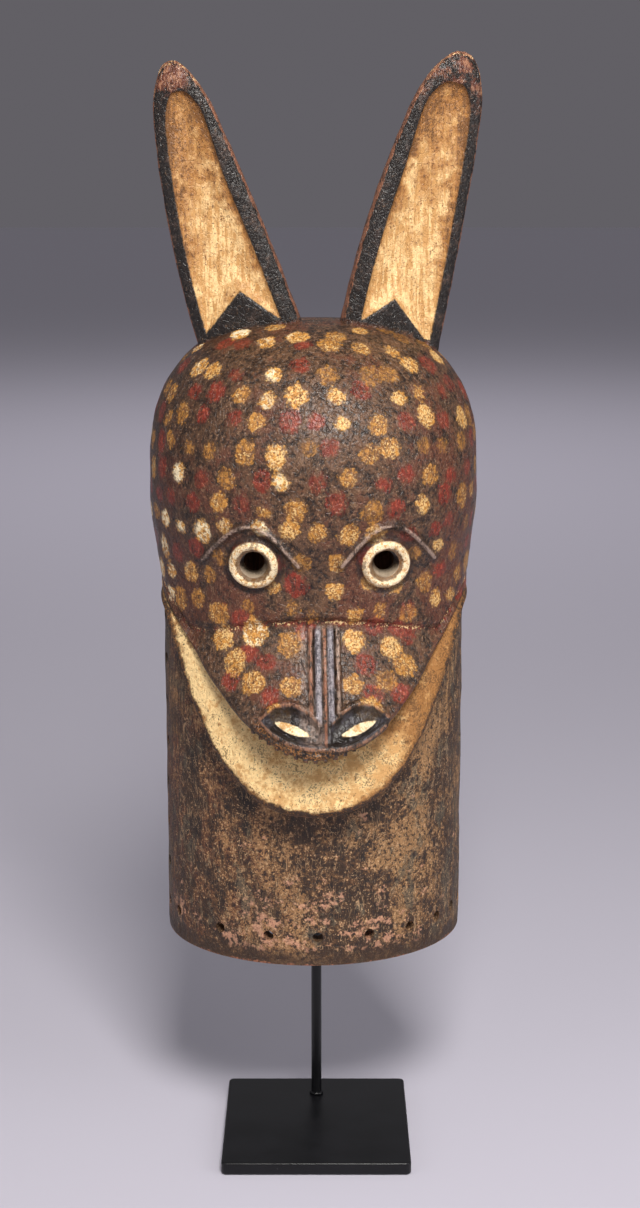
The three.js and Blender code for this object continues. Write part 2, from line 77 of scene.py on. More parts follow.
# the photograph's picture and the camera that took it, worked out from the square base plate
view = {
    "pictureHeight": 1208,
    "focalPixels": 1954,
    "place": (0.003, -1.483, 0.7675),
    "tiltDown": 12.3,
    "sensor": 24.0,
    "reach": 60,
}

# where the mask hangs on its stand, as the CAD places it, in mm
hang = {"rimHeight": 166, "rodY": 47, "aheadOfShell": 5, "sideways": -2, "turn": 2}

shell = {
    "wall": 14,
    "tubeHalfWidth": 119.5,
    "tubeDepth": 105,
    "backReach": 8,
    "headHalfWidth": 129.3,
    "headDepth": 124,
    "swellFrom": 268,
    "widest": 366,
    "top": 495,
    "crownSquare": 2.75,
    "foreheadSquare": 2.2,
}

face = {
    "crease": 277,
    "creaseDip": 14,
    "creaseGap": 7,
    "overhang": 4,
    "muzzleReach": 54,
    "muzzleSpread": 31,
    "cheekReach": 5,
    "lip": 182,
    "lipRise": 108,
    "lipCurve": 1.5,
    "jawLow": 131,
    "jawRise": 170,
    "jawCurve": 2.4,
    "jawReach": 29,
    "jawEnd": 8,
    "skew": -1.2,
    "corner": 87,
}

eyes = {
    "apart": 99,
    "height": 320,
    "aside": 1.3,
    "hole": 21.4,
    "holeNarrows": 0.17,
    "ring": 36.8,
    "ringWidth": 7.6,
    "ringHeight": 4,
    "browHalf": 36,
    "browRise": 30,
    "browOut": 2.7,
    "browThick": 4.4,
    "browHeight": 3.0,
    "browTaper": (18, 38, 0.55),
    "browGroove": (0.9, 5.5, 2.4),
    "ringGroove": (1.6, 3, 2.6),
    "crestAt": 0.38,
    "cutAhead": -14,
    "cutBehind": 24,
    "cutSides": 40,
    "drillShare": 0.62,
    "drillFrom": -70,
    "drillLength": 150,
}

snout = {
    "aside": 4.2,
    "ridges": ((-10.3, 2.6, 1.5), (-4.7, 4.6, 2.4), (0.3, 2.2, 1.7), (4.7, 4.2, 2.4), (10.3, 2.8, 1.6)),
    "lensInner": (10, 198.7),
    "lensOuter": (39.5, 207.6),
    "lensHalf": 3.9,
    "nostrilInner": 5.5,
    "nostrilOuter": 48.5,
    "nostrilArch": 12,
    "rimThick": 3.2,
    "rimHeight": 2.8,
    "grooves": ((1.0, 7.7, 1.0), (1.1, 13.4, 1.9)),
    "pocketDepth": 3.2,
    "lensHeight": 2.0,
    "lipRidgeHeight": 2.4,
    "lipRidgeAbove": 9.5,
    "lipRidgeRise": 16,
    "teeth": 15,
    "toothSize": 3.6,
    "toothEdge": 0.7,
    "teethReach": 17,
    "toothWide": (0.85, 1.15),
    "toothTurn": (-5, 5),
    "toothTall": (0.9, 1.2),
}

lace = {
    "hole": 8,
    "aboveRim": 24,
    "pitch": 34,
    "sideAngle": 81,
    "sideCount": 8,
    "rimAngles": (-67, -40, -19, 0, 20, 38, 54, 68),
    "drillSides": 20,
    "taper": (0.94, 1.12),
    "drillLength": 44,
}

ears = {
    "sink": 34,
    "baseThick": 30,
    "tipThick": 15,
    "hollow": 7,
    "frame": 9,
    "frameInner": 12.5,
    "frameTip": 7,
    "behind": -10,
    "hollowHigh": 0.905,
    "capFrom": 0.77,
    "forkAside": 0.115,
    "forkOuter": 0.895,
    "forkInner": 0.585,
    "left": {"side": -1, "length": 236.4, "reach": 41.7, "lean": 19.2, "curl": 5.5, "opening": 6,
             "half": 41.5, "narrow": 0.62, "taper": 1.9, "fork": (0.140, 0.240, 0.106)},
    "right": {"side": 1, "length": 241.3, "reach": 54, "lean": 11, "curl": -7, "opening": 10,
              "half": 40.5, "narrow": 0.52, "taper": 2.4, "fork": (0.075, 0.203, 0.108)},
}


def deselectAll():
    if bpy.context.object and bpy.context.object.mode != "OBJECT":
        bpy.ops.object.mode_set(mode="OBJECT")
    bpy.ops.object.select_all(action="DESELECT")


def pick(piece):
    deselectAll()
    piece.select_set(True)
    bpy.context.view_layer.objects.active = piece


def applyModifier(piece, kind, **settings):
    pick(piece)
    modifier = piece.modifiers.new(kind.lower(), kind)
    for key, value in settings.items():
        setattr(modifier, key, value)
    bpy.ops.object.modifier_apply(modifier=modifier.name)


def lerp(a, b, share):
    return a + (b - a) * share


def smooth(low, high, value):
    share = np.clip((value - low) / (high - low), 0, 1)
    return share * share * (3 - 2 * share)


def rad(degrees):
    return np.radians(degrees)


# form of the head, in mm in the mask's own frame: rim at z = 0, widest plane at y = 0

def superellipse(share, power):
    return (1 - np.clip(share, 0, 1) ** power) ** (1 / power)


def swell(z):
    share = np.clip((z - shell["swellFrom"]) / (shell["widest"] - shell["swellFrom"]), 0, 1)
    return (1 - np.cos(share * np.pi)) / 2


def spread(z, low, high, power, shrink):
    below = lerp(low, high, swell(z)) - shrink
    rise = (z - shell["widest"]) / (shell["top"] - shrink - shell["widest"])
    return np.where(z <= shell["widest"], below, below * superellipse(rise, power))


def halfWidthAt(z, shrink=0):
    return spread(z, shell["tubeHalfWidth"], shell["headHalfWidth"], shell["crownSquare"], shrink)


def depthAt(z, shrink=0):
    return spread(z, shell["tubeDepth"], shell["headDepth"], shell["foreheadSquare"], shrink)


def fade(angle):
    return np.sqrt(np.clip(1 - (angle / face["corner"]) ** 2, 0, 1))


def mouthHeight(angle):
    away = np.abs(np.sin(rad(angle - face["skew"])))
    return face["lip"] + face["lipRise"] * away ** face["lipCurve"]


def jawEdgeHeight(angle):
    away = np.abs(np.sin(rad(angle - face["skew"])))
    low = face["jawLow"] + face["jawRise"] * away ** face["jawCurve"]
    return np.minimum(low, mouthHeight(angle) - face["jawEnd"])


def creaseHeight(angle):
    dip = face["creaseDip"] * np.sin(rad(np.minimum(1.6 * np.abs(angle), 90))) ** 2
    return np.maximum(face["crease"] - dip, mouthHeight(angle) + face["creaseGap"])


def muzzleReach(angle):
    front = (face["muzzleReach"] - face["cheekReach"]) * np.exp(-((angle / face["muzzleSpread"]) ** 2))
    return (front + face["cheekReach"]) * fade(angle)


def jawReach(angle):
    side = face["cheekReach"] * 1.6
    front = (face["jawReach"] - side) * np.exp(-((angle / (face["muzzleSpread"] * 1.3)) ** 2))
    return (front + side) * fade(angle)


# one column of the outside from rim to top: height, how far it stands out, and the steps that lead to the next row
def columnRows(angle):
    mouth, jaw, crease = mouthHeight(angle), jawEdgeHeight(angle), creaseHeight(angle)
    tall = mouth - jaw
    out, lip = jawReach(angle), muzzleReach(angle)
    groove = np.minimum(out * 0.36, lip * 0.4)
    muzzleTop = crease - 2
    thick = np.minimum(4, (muzzleTop - mouth) * 0.2)
    still = 0 * angle
    rows = [
        (still, still, 5),
        (still + 10, still, 30),
        (jaw - tall * 0.14, still, 5),
        (jaw - tall * 0.03, out * 0.8, 4),
        (jaw + tall * 0.06, out, 7),
        (jaw + tall * 0.2, out * 0.97, 13),
        (jaw + tall * 0.6, lerp(out, groove, 0.42), 12),
        (mouth - thick * 0.6, groove, 4),
        (mouth - thick * 0.1, groove * 0.96, 3),
        (mouth, lerp(groove, lip, 0.92), 4),
        (mouth + thick * 1.1, lip, 17),
    ]
    steps = {0.2: 18, 0.45: 17, 0.72: 14, 0.95: 3}
    for share, count in steps.items():
        z = lerp(mouth + thick * 1.1, muzzleTop, share)
        rows.append((z, lerp(lip, face["cheekReach"] * fade(angle) * 0.7, share ** 0.92), count))
    brow = face["overhang"] * np.cos(rad(angle))
    free = shell["widest"] - crease
    rows += [(crease, brow, 4), (crease + 5, brow * 1.7, 8), (crease + free * 0.2, brow * 1.2, 13)]
    rows += [(crease + free * 0.42, brow * 0.7 * 0.58 ** 2, 16), (crease + free * 0.7, brow * 0.7 * 0.3 ** 2, 14)]
    for turn in (4, 20, 33, 45, 56, 66, 75, 83, 90):
        rows.append((shell["widest"] + (shell["top"] - shell["widest"]) * math.sin(rad(turn)) + still, still, 9))
    return rows


# a smooth line through rows of points, with short tangents where the steps are uneven so that edges stay crisp
def smoothThrough(rows, steps):
    rows = np.array(rows)
    ahead = np.roll(rows, -1, 0) - rows
    behind = rows - np.roll(rows, 1, 0)
    ahead[-1] = behind[-1]
    behind[0] = ahead[0]
    reach = np.minimum(np.linalg.norm(ahead, axis=-1), np.linalg.norm(behind, axis=-1))[..., None]
    both = ahead + behind
    slope = both / np.maximum(np.linalg.norm(both, axis=-1, keepdims=True), 1e-9) * reach
    pieces = []
    for k in range(len(rows) - 1):
        t = (np.arange(steps[k]) / steps[k]).reshape(-1, *([1] * (rows.ndim - 1)))
        a, b = rows[k], rows[k + 1]
        pieces.append((2 * t**3 - 3 * t**2 + 1) * a + (t**3 - 2 * t**2 + t) * slope[k]
                      + (3 * t**2 - 2 * t**3) * b + (t**3 - t**2) * slope[k + 1])
    pieces.append(rows[-1:])
    return np.concatenate(pieces)


# the carved head: a plain grid is bent into the outside, the rim and the inside in one skin

head = {
    "fineAngle": 30,
    "fineStep": 0.55,
    "coarseStep": 1.15,
    "backRows": 2,
    "insideRows": 46,
    "rimRound": 2.5,
    "adzeBroad": (34, 3.7, 0.77),
    "adzeFine": (11, 9.1, 0.275),
    "insideMarks": (26, 5.5, 0.9),
    "weld": 0.04,
}


def columnAngles():
    side = np.arange(0, head["fineAngle"], head["fineStep"])
    rest = np.linspace(head["fineAngle"], 90, int((90 - head["fineAngle"]) / head["coarseStep"]) + 1)
    right = np.concatenate([side, rest])
    return np.concatenate([-right[:0:-1], right])


# the outside as rows of columns: angle, height, lift and how far behind the widest plane
def outsideGrid():
    angle = columnAngles()
    rows = columnRows(angle)
    steps = [count for z, lift, count in rows]
    line = smoothThrough([np.stack([z, lift], -1) for z, lift, count in rows], steps)
    return angle, line[..., 0], line[..., 1]


def insideGrid(angle):
    turns = np.linspace(0, 90, 22)[1:]
    heights = np.concatenate([np.linspace(0, shell["widest"], head["insideRows"] - 21),
                              shell["widest"] + (shell["top"] - shell["wall"] - shell["widest"]) * np.sin(rad(turns))])
    return heights[:, None] + 0 * angle


def formPoints(angle, z, lift, shrink):
    x = (halfWidthAt(z, shrink) + lift) * np.sin(rad(angle))
    y = -(depthAt(z, shrink) + lift) * np.cos(rad(angle))
    return np.stack([x, y, z], -1)


def surfaceNormals(points):
    along = np.gradient(points, axis=1)
    up = np.gradient(points, axis=0)
    cross = np.cross(along, up)
    return cross / np.maximum(np.linalg.norm(cross, axis=-1, keepdims=True), 1e-9)


# distance from points (x, z) to a polyline, all in mm as seen from the front
def lineDistance(x, z, line):
    best = np.full(x.shape, 1e9)
    for (ax, az), (bx, bz) in zip(line[:-1], line[1:]):
        dx, dz = bx - ax, bz - az
        share = np.clip(((x - ax) * dx + (z - az) * dz) / (dx * dx + dz * dz), 0, 1)
        best = np.minimum(best, np.hypot(x - ax - dx * share, z - az - dz * share))
    return best


def eyeCentre(side):
    return eyes["aside"] + side * eyes["apart"] / 2, eyes["height"]


def browLine(side):
    x, z = eyeCentre(side)
    middle = x + side * eyes["browOut"]
    share = np.linspace(-1, 1, 33)
    return [(middle + eyes["browHalf"] * s, z + eyes["browRise"] * math.cos(s * math.pi / 2)) for s in share]


def lipRidge(away):
    return face["lip"] + snout["lipRidgeAbove"] + snout["lipRidgeRise"] * (np.abs(away) / snout["nostrilOuter"]) ** 2.6


def nostrilShare(away):
    return np.clip((np.abs(away) - snout["nostrilInner"]) / (snout["nostrilOuter"] - snout["nostrilInner"]), 0, 1)


def nostrilTop(away):
    arch = np.sin(np.pi * nostrilShare(away)) ** 0.85
    return face["lip"] + snout["lipRidgeAbove"] + snout["lipRidgeRise"] + 1 + snout["nostrilArch"] * arch


# how far inside the pale almond of a nostril a place lies, in mm
def lensInside(away, z):
    (a, low), (b, high) = snout["lensInner"], snout["lensOuter"]
    share = (np.abs(away) - a) / (b - a)
    half = snout["lensHalf"] * np.sin(np.pi * np.clip(share, 0, 1)) ** 0.75
    return np.where((share > 0) & (share < 1), half - np.abs(z - lerp(low, high, share)), -3)


def bump(distance, half):
    return np.clip(1 - (distance / half) ** 2, 0, 1)


def groove(distance, depth, at, width):
    return depth * np.exp(-((distance - at) / width) ** 2)


# eye rings, brows, nose ridges, nostrils and lip, as a lift in mm along the surface's normal
def carvedRelief(x, z, angle):
    front = np.abs(angle) < 75
    lift = np.zeros(x.shape)
    for side in (-1, 1):
        ex, ez = eyeCentre(side)
        away = np.hypot(x - ex, z - ez)
        outerEdge, innerEdge = eyes["ring"] / 2, eyes["hole"] / 2
        crest = outerEdge - eyes["ringWidth"] * eyes["crestAt"]
        rise = np.where(away > crest, bump(away - crest, outerEdge - crest) ** 0.6,
                        1 - 0.75 * smooth(crest - 1, innerEdge - 1, away) ** 1.2)
        lift += eyes["ringHeight"] * rise * (away < outerEdge)
        lift -= groove(away - outerEdge, *eyes["ringGroove"])
        brow = lineDistance(x, z, browLine(side))
        taperFrom, taperTo, taperBy = eyes["browTaper"]
        taper = 1 - taperBy * smooth(taperFrom, taperTo, np.abs(x - ex - side * eyes["browOut"]))
        lift += eyes["browHeight"] * taper * bump(brow, eyes["browThick"] / 2 * taper + 0.9) ** 0.9
        lift -= groove(brow, *eyes["browGroove"])
    away = x - snout["aside"]
    top = creaseHeight(angle) - 3
    low = lipRidge(away) + 3
    along = smooth(low, low + 6, z) * (1 - smooth(top - 4, top + 1, z))
    above = smooth(-2, 5, z - nostrilTop(away))
    for at, width, high in snout["ridges"]:
        lift += high * bump(away - at, width / 2 + 0.7) ** 0.8 * along * (above if abs(at) > 1 else 1)
    for cut in snout["grooves"]:
        lift -= groove(np.abs(away), *cut) * along * above
    ridge = z - lipRidge(away)
    reach = 1 - smooth(snout["nostrilOuter"] - 5, snout["nostrilOuter"], np.abs(away))
    lift += snout["lipRidgeHeight"] * bump(ridge, snout["rimThick"]) ** 0.7 * reach
    upper = z - nostrilTop(away)
    within = smooth(snout["nostrilInner"] - 2, snout["nostrilInner"], np.abs(away))
    lift += snout["rimHeight"] * bump(upper, snout["rimThick"] - 0.1) ** 0.7 * reach * within
    pocket = smooth(2.5, 5, ridge) * (1 - smooth(-6, -2.5, upper)) * reach * within
    lift -= snout["pocketDepth"] * pocket
    lift += snout["lensHeight"] * smooth(-0.5, 2.5, lensInside(away, z))
    return lift * front


def fieldNoise(points, size, seed, octaves=3):
    flat = points.reshape(-1, 3) / size + seed
    values = np.array([noise.fractal(Vector(p), 0.9, 2.0, octaves) for p in flat])
    return values.reshape(points.shape[:-1])


def toolMarks(points, size, seed, height):
    return fieldNoise(points, size, seed, 2) * height


def bendGrid(name, points):
    rows, columns = points.shape[:2]
    deselectAll()
    bpy.ops.mesh.primitive_grid_add(x_subdivisions=columns - 1, y_subdivisions=rows - 1, size=2)
    piece = bpy.context.object
    piece.name = piece.data.name = name
    piece.data.vertices.foreach_set("co", (points * mm).reshape(-1, 3).astype(np.float32).ravel())
    piece.data.update()
    return piece


def makeHead():
    angle, z, lift = outsideGrid()
    turn = np.broadcast_to(angle, z.shape)
    outer = formPoints(turn, z, lift, 0)
    outer[-1, :, 0] = 0
    normals = surfaceNormals(outer)
    normals[-1] = (0, 0, 1)
    relief = carvedRelief(outer[..., 0], outer[..., 2], turn)
    adze = toolMarks(outer, *head["adzeBroad"]) + toolMarks(outer, *head["adzeFine"])
    quiet = smooth(0, 6, outer[..., 2]) * (1 - smooth(480, 495, outer[..., 2]))
    outer = outer + normals * ((relief + adze * quiet)[..., None])
    innerZ = insideGrid(angle)
    innerTurn = np.broadcast_to(angle, innerZ.shape)
    inner = formPoints(innerTurn, innerZ, 0, shell["wall"])
    inner[-1, :, 0] = 0
    tools = toolMarks(inner, *head["insideMarks"])
    inner = inner + surfaceNormals(inner) * (tools * smooth(0, 8, innerZ))[..., None] * -1
    rim = (outer[:1] + inner[:1]) / 2
    rim[..., 2] = 0
    edge = head["rimRound"]
    outer[0, :, 2] = edge * 0.35
    inner[0, :, 2] = edge * 0.35
    skin = np.concatenate([outer[::-1], lerp(outer[:1], inner[:1], 0.14) * (1, 1, 0), rim,
                           lerp(outer[:1], inner[:1], 0.86) * (1, 1, 0), inner])
    back = []
    for k in range(1, head["backRows"] + 1):
        strip = np.stack([skin[:, 0], skin[:, -1]])
        strip[..., 1] = np.maximum(strip[..., 1], 0) + shell["backReach"] * k / head["backRows"]
        back.append(strip)
    left = [strip[0][:, None] for strip in back[::-1]]
    right = [strip[1][:, None] for strip in back]
    return bendGrid("carved_mask", np.concatenate(left + [skin] + right, 1))


def closeHead(piece):
    pick(piece)
    bpy.ops.object.mode_set(mode="EDIT")
    bpy.ops.mesh.select_all(action="SELECT")
    bpy.ops.mesh.remove_doubles(threshold=head["weld"] * mm)
    bpy.ops.mesh.select_all(action="DESELECT")
    bpy.ops.mesh.select_non_manifold(extend=False, use_wire=False, use_boundary=True, use_multi_face=False,
                                     use_non_contiguous=False, use_verts=False)
    bpy.ops.mesh.fill(use_beauty=True)
    bpy.ops.mesh.select_all(action="SELECT")
    bpy.ops.mesh.normals_make_consistent(inside=False)
    bpy.ops.object.mode_set(mode="OBJECT")


def pointsOf(piece):
    points = np.zeros(len(piece.data.vertices) * 3)
    piece.data.vertices.foreach_get("co", points)
    return points.reshape(-1, 3)


# a print line per stage, with the volume that the faces enclose
def report(piece, words):
    mesh = piece.data
    mesh.calc_loop_triangles()
    corners = np.zeros(len(mesh.loop_triangles) * 3, int)
    mesh.loop_triangles.foreach_get("vertices", corners)
    a, b, c = pointsOf(piece)[corners.reshape(-1, 3)].transpose(1, 0, 2)
    volume = (np.cross(a, b) * c).sum() / 6
    print("stage:", words, len(mesh.polygons), "faces, volume", round(volume * 1e6, 1), "cm3")


# the thin wall that closes the back of the head, behind the rod
headBack = {"low": 272, "thickness": 6, "bulge": 15, "seat": 0.3, "across": 56, "up": 64,
            "frontMarks": (24, 1.3, 0.5), "backMarks": (30, 7.7, 1.0)}


def closeTube(piece):
    pick(piece)
    bpy.ops.object.mode_set(mode="EDIT")
    bpy.ops.mesh.select_all(action="SELECT")
    bpy.ops.mesh.remove_doubles(threshold=head["weld"] * mm)
    bpy.ops.mesh.fill_holes(sides=0)
    bpy.ops.mesh.select_all(action="SELECT")
    bpy.ops.mesh.normals_make_consistent(inside=False)
    bpy.ops.object.mode_set(mode="OBJECT")
    return piece


def makeHeadBack():
    inWall = shell["wall"] * 0.45
    share = np.linspace(0, 1, headBack["up"] + 1)[:, None]
    z = lerp(headBack["low"], shell["top"] - inWall, share)
    half = halfWidthAt(z) - inWall
    across = np.linspace(-1, 1, headBack["across"] + 1)
    bulge = headBack["bulge"] * np.cos(share * np.pi / 2) ** 0.8 * (1 - across ** 2)
    outer = shell["backReach"] - headBack["seat"]
    full = z + 0 * across
    front = np.stack([across * half, outer - headBack["thickness"] + bulge, full], -1)
    behind = np.stack([across * half, outer + bulge, full], -1)
    calm = smooth(1, 0.9, np.abs(across)) + 0 * share
    front[..., 1] += (toolMarks(front, *headBack["frontMarks"]) - 0.3) * calm
    behind[..., 1] += (toolMarks(behind, *headBack["backMarks"]) - 0.6) * calm
    return closeTube(bendGrid("head_back", np.concatenate([front, behind[:, ::-1], front[:, :1]], 1)))


mask = makeHead()
closeHead(mask)
report(mask, "head bent:")


# ears: each is a swept, tapering blade with a framed hollow sunk into its front

def earHalf(shape, share):
    narrow = 1 - shape["narrow"] * share ** shape["taper"]
    return shape["half"] * narrow * superellipse((share - 0.8) / 0.2, 2.3)


def earThick(share):
    return lerp(ears["baseThick"], ears["tipThick"], share ** 0.8)


def earLine(shape, share):
    fine = np.linspace(0, 1, 401)
    lean = rad(shape["side"] * (shape["lean"] - shape["curl"] * fine))
    step = shape["length"] / 400
    x = np.concatenate([[0], np.cumsum(np.sin(lean))[:-1]]) * step
    z = np.concatenate([[0], np.cumsum(np.cos(lean))[:-1]]) * step
    middleX = np.interp(share, fine, x) + shape["side"] * shape["reach"]
    middleZ = np.interp(share, fine, z) + shell["top"] - ears["sink"]
    return middleX, middleZ, np.interp(share, fine, lean)


# how far inside the hollow's border a place of the ear's front lies, in mm
def hollowDepth(shape, across, share):
    half = earHalf(shape, share)
    inward = -across * shape["side"]
    inner = smooth(-0.3, 0.3, inward)
    frame = lerp(ears["frame"], lerp(ears["frameInner"], ears["frameTip"], smooth(0.55, 0.88, share)), inner)
    outerTip, peak, innerTip = shape["fork"]
    aside = inward - ears["forkAside"]
    fall = np.where(aside > 0, aside / ears["forkInner"], -aside / ears["forkOuter"])
    low = lerp(np.where(aside > 0, innerTip, outerTip), peak, np.clip(1 - fall, -0.3, 1))
    high = ears["hollowHigh"]
    cap = superellipse((share - ears["capFrom"]) / (high - ears["capFrom"]), 3)
    sides = (half - frame) * cap - half * np.abs(across)
    ends = np.minimum((share - low) * 0.75, high - share) * shape["length"]
    return np.minimum(sides, ends)


earMesh = {
    "acrossFront": 60,
    "acrossBack": 26,
    "stations": ((0, 0.12, 8), (0.12, 0.3, 30), (0.3, 0.86, 48)),
    "tipStations": (0.86, 1, 34),
    "tipFrom": 0.93,
    "lip": 2.6,
    "lipRun": 3.2,
    "deepRun": 18,
    "marks": 17,
    "markHeight": 0.5,
}


def makeEar(name, shape):
    front, back = earMesh["acrossFront"], earMesh["acrossBack"]
    t = np.linspace(-1, 1, front + 1)
    frontX = np.sin(t * np.pi / 2) * 0.35 + t * 0.65
    turn = np.linspace(0, np.pi, back + 1)
    runs = [np.linspace(*run)[:-1] for run in earMesh["stations"]]
    along = np.concatenate(runs + [np.linspace(*earMesh["tipStations"])])
    share = along[:, None]
    half = np.maximum(earHalf(shape, share), 0.02)
    tip = earMesh["tipFrom"]
    thick = earThick(share) * lerp(1, 0.6, smooth(tip, 1, share)) * superellipse((share - tip) / (1 - tip), 2.4)
    depth = hollowDepth(shape, frontX, share)
    deepest = lerp(earMesh["lip"], ears["hollow"], smooth(0, earMesh["deepRun"], depth))
    sunk = smooth(0, earMesh["lipRun"], depth) * deepest
    frontY = -thick * 0.5 * (1 - 0.25 * frontX ** 2) * superellipse(np.abs(frontX), 5) + sunk
    backX = np.cos(turn)[1:-1]
    backY = thick * 0.45 * np.sin(turn)[1:-1] ** 0.8
    x = np.concatenate([frontX * half, backX * half], 1)
    y = np.concatenate([frontY, backY], 1)
    open_ = rad(shape["opening"] * shape["side"])
    across, deep = x * np.cos(open_) - y * np.sin(open_), x * np.sin(open_) + y * np.cos(open_)
    middleX, middleZ, lean = earLine(shape, share)
    points = np.stack([middleX + across * np.cos(lean), ears["behind"] + deep, middleZ - across * np.sin(lean)], -1)
    centre = points.mean(1, keepdims=True)
    away = points - centre
    away /= np.maximum(np.linalg.norm(away, axis=-1, keepdims=True), 1e-6)
    tool = toolMarks(points, earMesh["marks"], 2.9 + shape["side"], earMesh["markHeight"]) * smooth(1, 0.96, share)
    points = points + away * tool[..., None]
    points = np.concatenate([points, points[:, :1]], 1)
    return closeTube(bendGrid(name, points))


def boolean(piece, other, operation):
    applyModifier(piece, "BOOLEAN", operation=operation, object=other, solver="MANIFOLD")
    bpy.data.objects.remove(other)


# the hollow's own shape, a little inside the wall, which trims what would stick out into it
def hollowCutter(inset):
    angle = np.linspace(-90, 90, 61)
    crown = (shell["top"] - inset - shell["widest"]) * np.sin(rad(np.linspace(0, 90, 20)[1:]))
    heights = np.concatenate([[-20], np.linspace(60, shell["widest"], 8), shell["widest"] + crown])
    z = heights[:, None] + 0 * angle
    points = formPoints(np.broadcast_to(angle, z.shape), z, 0, inset)
    points[-1, :, 0] = 0
    points[:, (0, -1), 1] = 30
    return closeTube(bendGrid("hollow_trim", points))


# takes off the slivers that a boolean leaves
def weldSlivers(piece):
    pick(piece)
    bpy.ops.object.mode_set(mode="EDIT")
    bpy.ops.mesh.select_all(action="SELECT")
    bpy.ops.mesh.remove_doubles(threshold=0.03 * mm)
    bpy.ops.mesh.dissolve_degenerate(threshold=0.01 * mm)
    bpy.ops.object.mode_set(mode="OBJECT")


boolean(mask, makeHeadBack(), "UNION")
report(mask, "mask with the back of its head")
for key in ("left", "right"):
    ear = makeEar(key + "_ear", ears[key])
    report(ear, key + " ear")
    trim = hollowCutter(shell["wall"] - 4)
    boolean(ear, trim, "DIFFERENCE")
    boolean(mask, ear, "UNION")
    report(mask, "mask with its " + key + " ear")


# holes: each is cut by a slightly tapering drill that goes through the wall, and an eye by a funnel first
def cone(sides, small, large, length, place, turn):
    deselectAll()
    bpy.ops.mesh.primitive_cone_add(vertices=sides, radius1=small * mm, radius2=large * mm, depth=length * mm,
                                    location=Vector(place) * mm, rotation=turn)
    made = bpy.context.object
    pick(made)
    bpy.ops.object.transform_apply(location=True, rotation=True, scale=True)
    return made


def drill(place, direction, diameter, length):
    small, large = [diameter / 2 * share for share in lace["taper"]]
    return cone(lace["drillSides"], small, large, length, place, Vector(direction).to_track_quat("Z", "Y").to_euler())


def drillAtAngle(angle, z, diameter):
    z = np.float64(z)
    place = formPoints(np.float64(angle), z, 0, shell["wall"] / 2)
    outward = (math.sin(rad(angle)) / float(halfWidthAt(z)), -math.cos(rad(angle)) / float(depthAt(z)), 0)
    return drill(place, outward, diameter, lace["drillLength"])


def eyeFront(side):
    ex, ez = eyeCentre(side)
    z = np.float64(ez)
    angle = np.degrees(np.arcsin(ex / (halfWidthAt(z) + 2)))
    return float(formPoints(angle, z, 2.0, 0)[1])


bits = []
for side in (-1, 1):
    ex, ez = eyeCentre(side)
    ahead, behind = eyes["cutAhead"], eyes["cutBehind"]
    wide, narrow = [eyes["hole"] / 2 - eyes["holeNarrows"] * reach for reach in (ahead, behind)]
    middle = (ex, eyeFront(side) + (ahead + behind) / 2, ez)
    funnel = cone(eyes["cutSides"], wide, narrow, behind - ahead, middle, (-math.pi / 2, 0, 0))
    boolean(mask, funnel, "DIFFERENCE")
    through = (ex, eyes["drillFrom"], ez + 0.5)
    bits.append(drill(through, (0, -1, 0), eyes["hole"] * eyes["drillShare"], eyes["drillLength"]))
for angle in lace["rimAngles"]:
    bits.append(drillAtAngle(angle, lace["aboveRim"], lace["hole"]))
for k in range(lace["sideCount"]):
    for side in (-1, 1):
        bits.append(drillAtAngle(side * lace["sideAngle"], lace["aboveRim"] + lace["pitch"] * k, lace["hole"]))
pick(bits[0])
for bit in bits:
    bit.select_set(True)
bpy.ops.object.join()
boolean(mask, bpy.context.object, "DIFFERENCE")
report(mask, "mask with its holes")


# teeth: one small bevelled block, copied along the underside of the lip
def makeTeeth():
    size = snout["toothSize"]
    deselectAll()
    bpy.ops.mesh.primitive_cube_add(size=size * mm)
    first = bpy.context.object
    applyModifier(first, "BEVEL", width=snout["toothEdge"] * mm, segments=2)
    made = []
    for k in range(snout["teeth"]):
        angle = np.float64(face["skew"] + (2 * k / (snout["teeth"] - 1) - 1) * snout["teethReach"])
        root = formPoints(angle, mouthHeight(angle) + 0.9, muzzleReach(angle) - size * 0.5, 0)
        pick(first)
        bpy.ops.object.duplicate()
        tooth = bpy.context.object
        grow = dice.uniform(*snout["toothWide"])
        turn = Matrix.Rotation(math.radians(float(angle) + dice.uniform(*snout["toothTurn"])), 4, "Z")
        stretch = Matrix.Diagonal((grow, 1, dice.uniform(*snout["toothTall"]), 1))
        tooth.data.transform(Matrix.Translation(Vector(root) * mm) @ turn @ stretch)
        made.append(tooth)
    bpy.data.objects.remove(first)
    return made


dice = random.Random(7)
for tooth in makeTeeth():
    boolean(mask, tooth, "UNION")
report(mask, "mask with its teeth")


# where the paint goes, in mm
paint = {
    "seed": 12,
    "lowest": 285.0,
    "highest": 493.5,
    "furthestAngle": 95,
    "rowGap": 0.86,
    "domeSpacing": 23.5,
    "domeJitter": 5.4,
    "ochreSize": (6.0, 9.0),
    "redSize": (6.0, 8.8),
    "ochreShare": 0.53,
    "muzzleOchre": ((-71, 261), (-48, 267), (-21, 261), (-49, 233), (-21, 233), (27, 262), (55, 256), (25, 233),
                    (51, 233), (68, 279), (-76, 281), (-62, 246), (66, 242), (-30, 214), (38, 216)),
    "muzzleRed": ((-53, 253), (-38, 247), (-37, 224), (43, 273), (35, 246), (40, 225), (-58, 276), (-10, 271),
                  (60, 268), (68, 262), (-66, 232), (62, 224)),
    "muzzleSize": 9.4,
    "middling": 7.2,
}


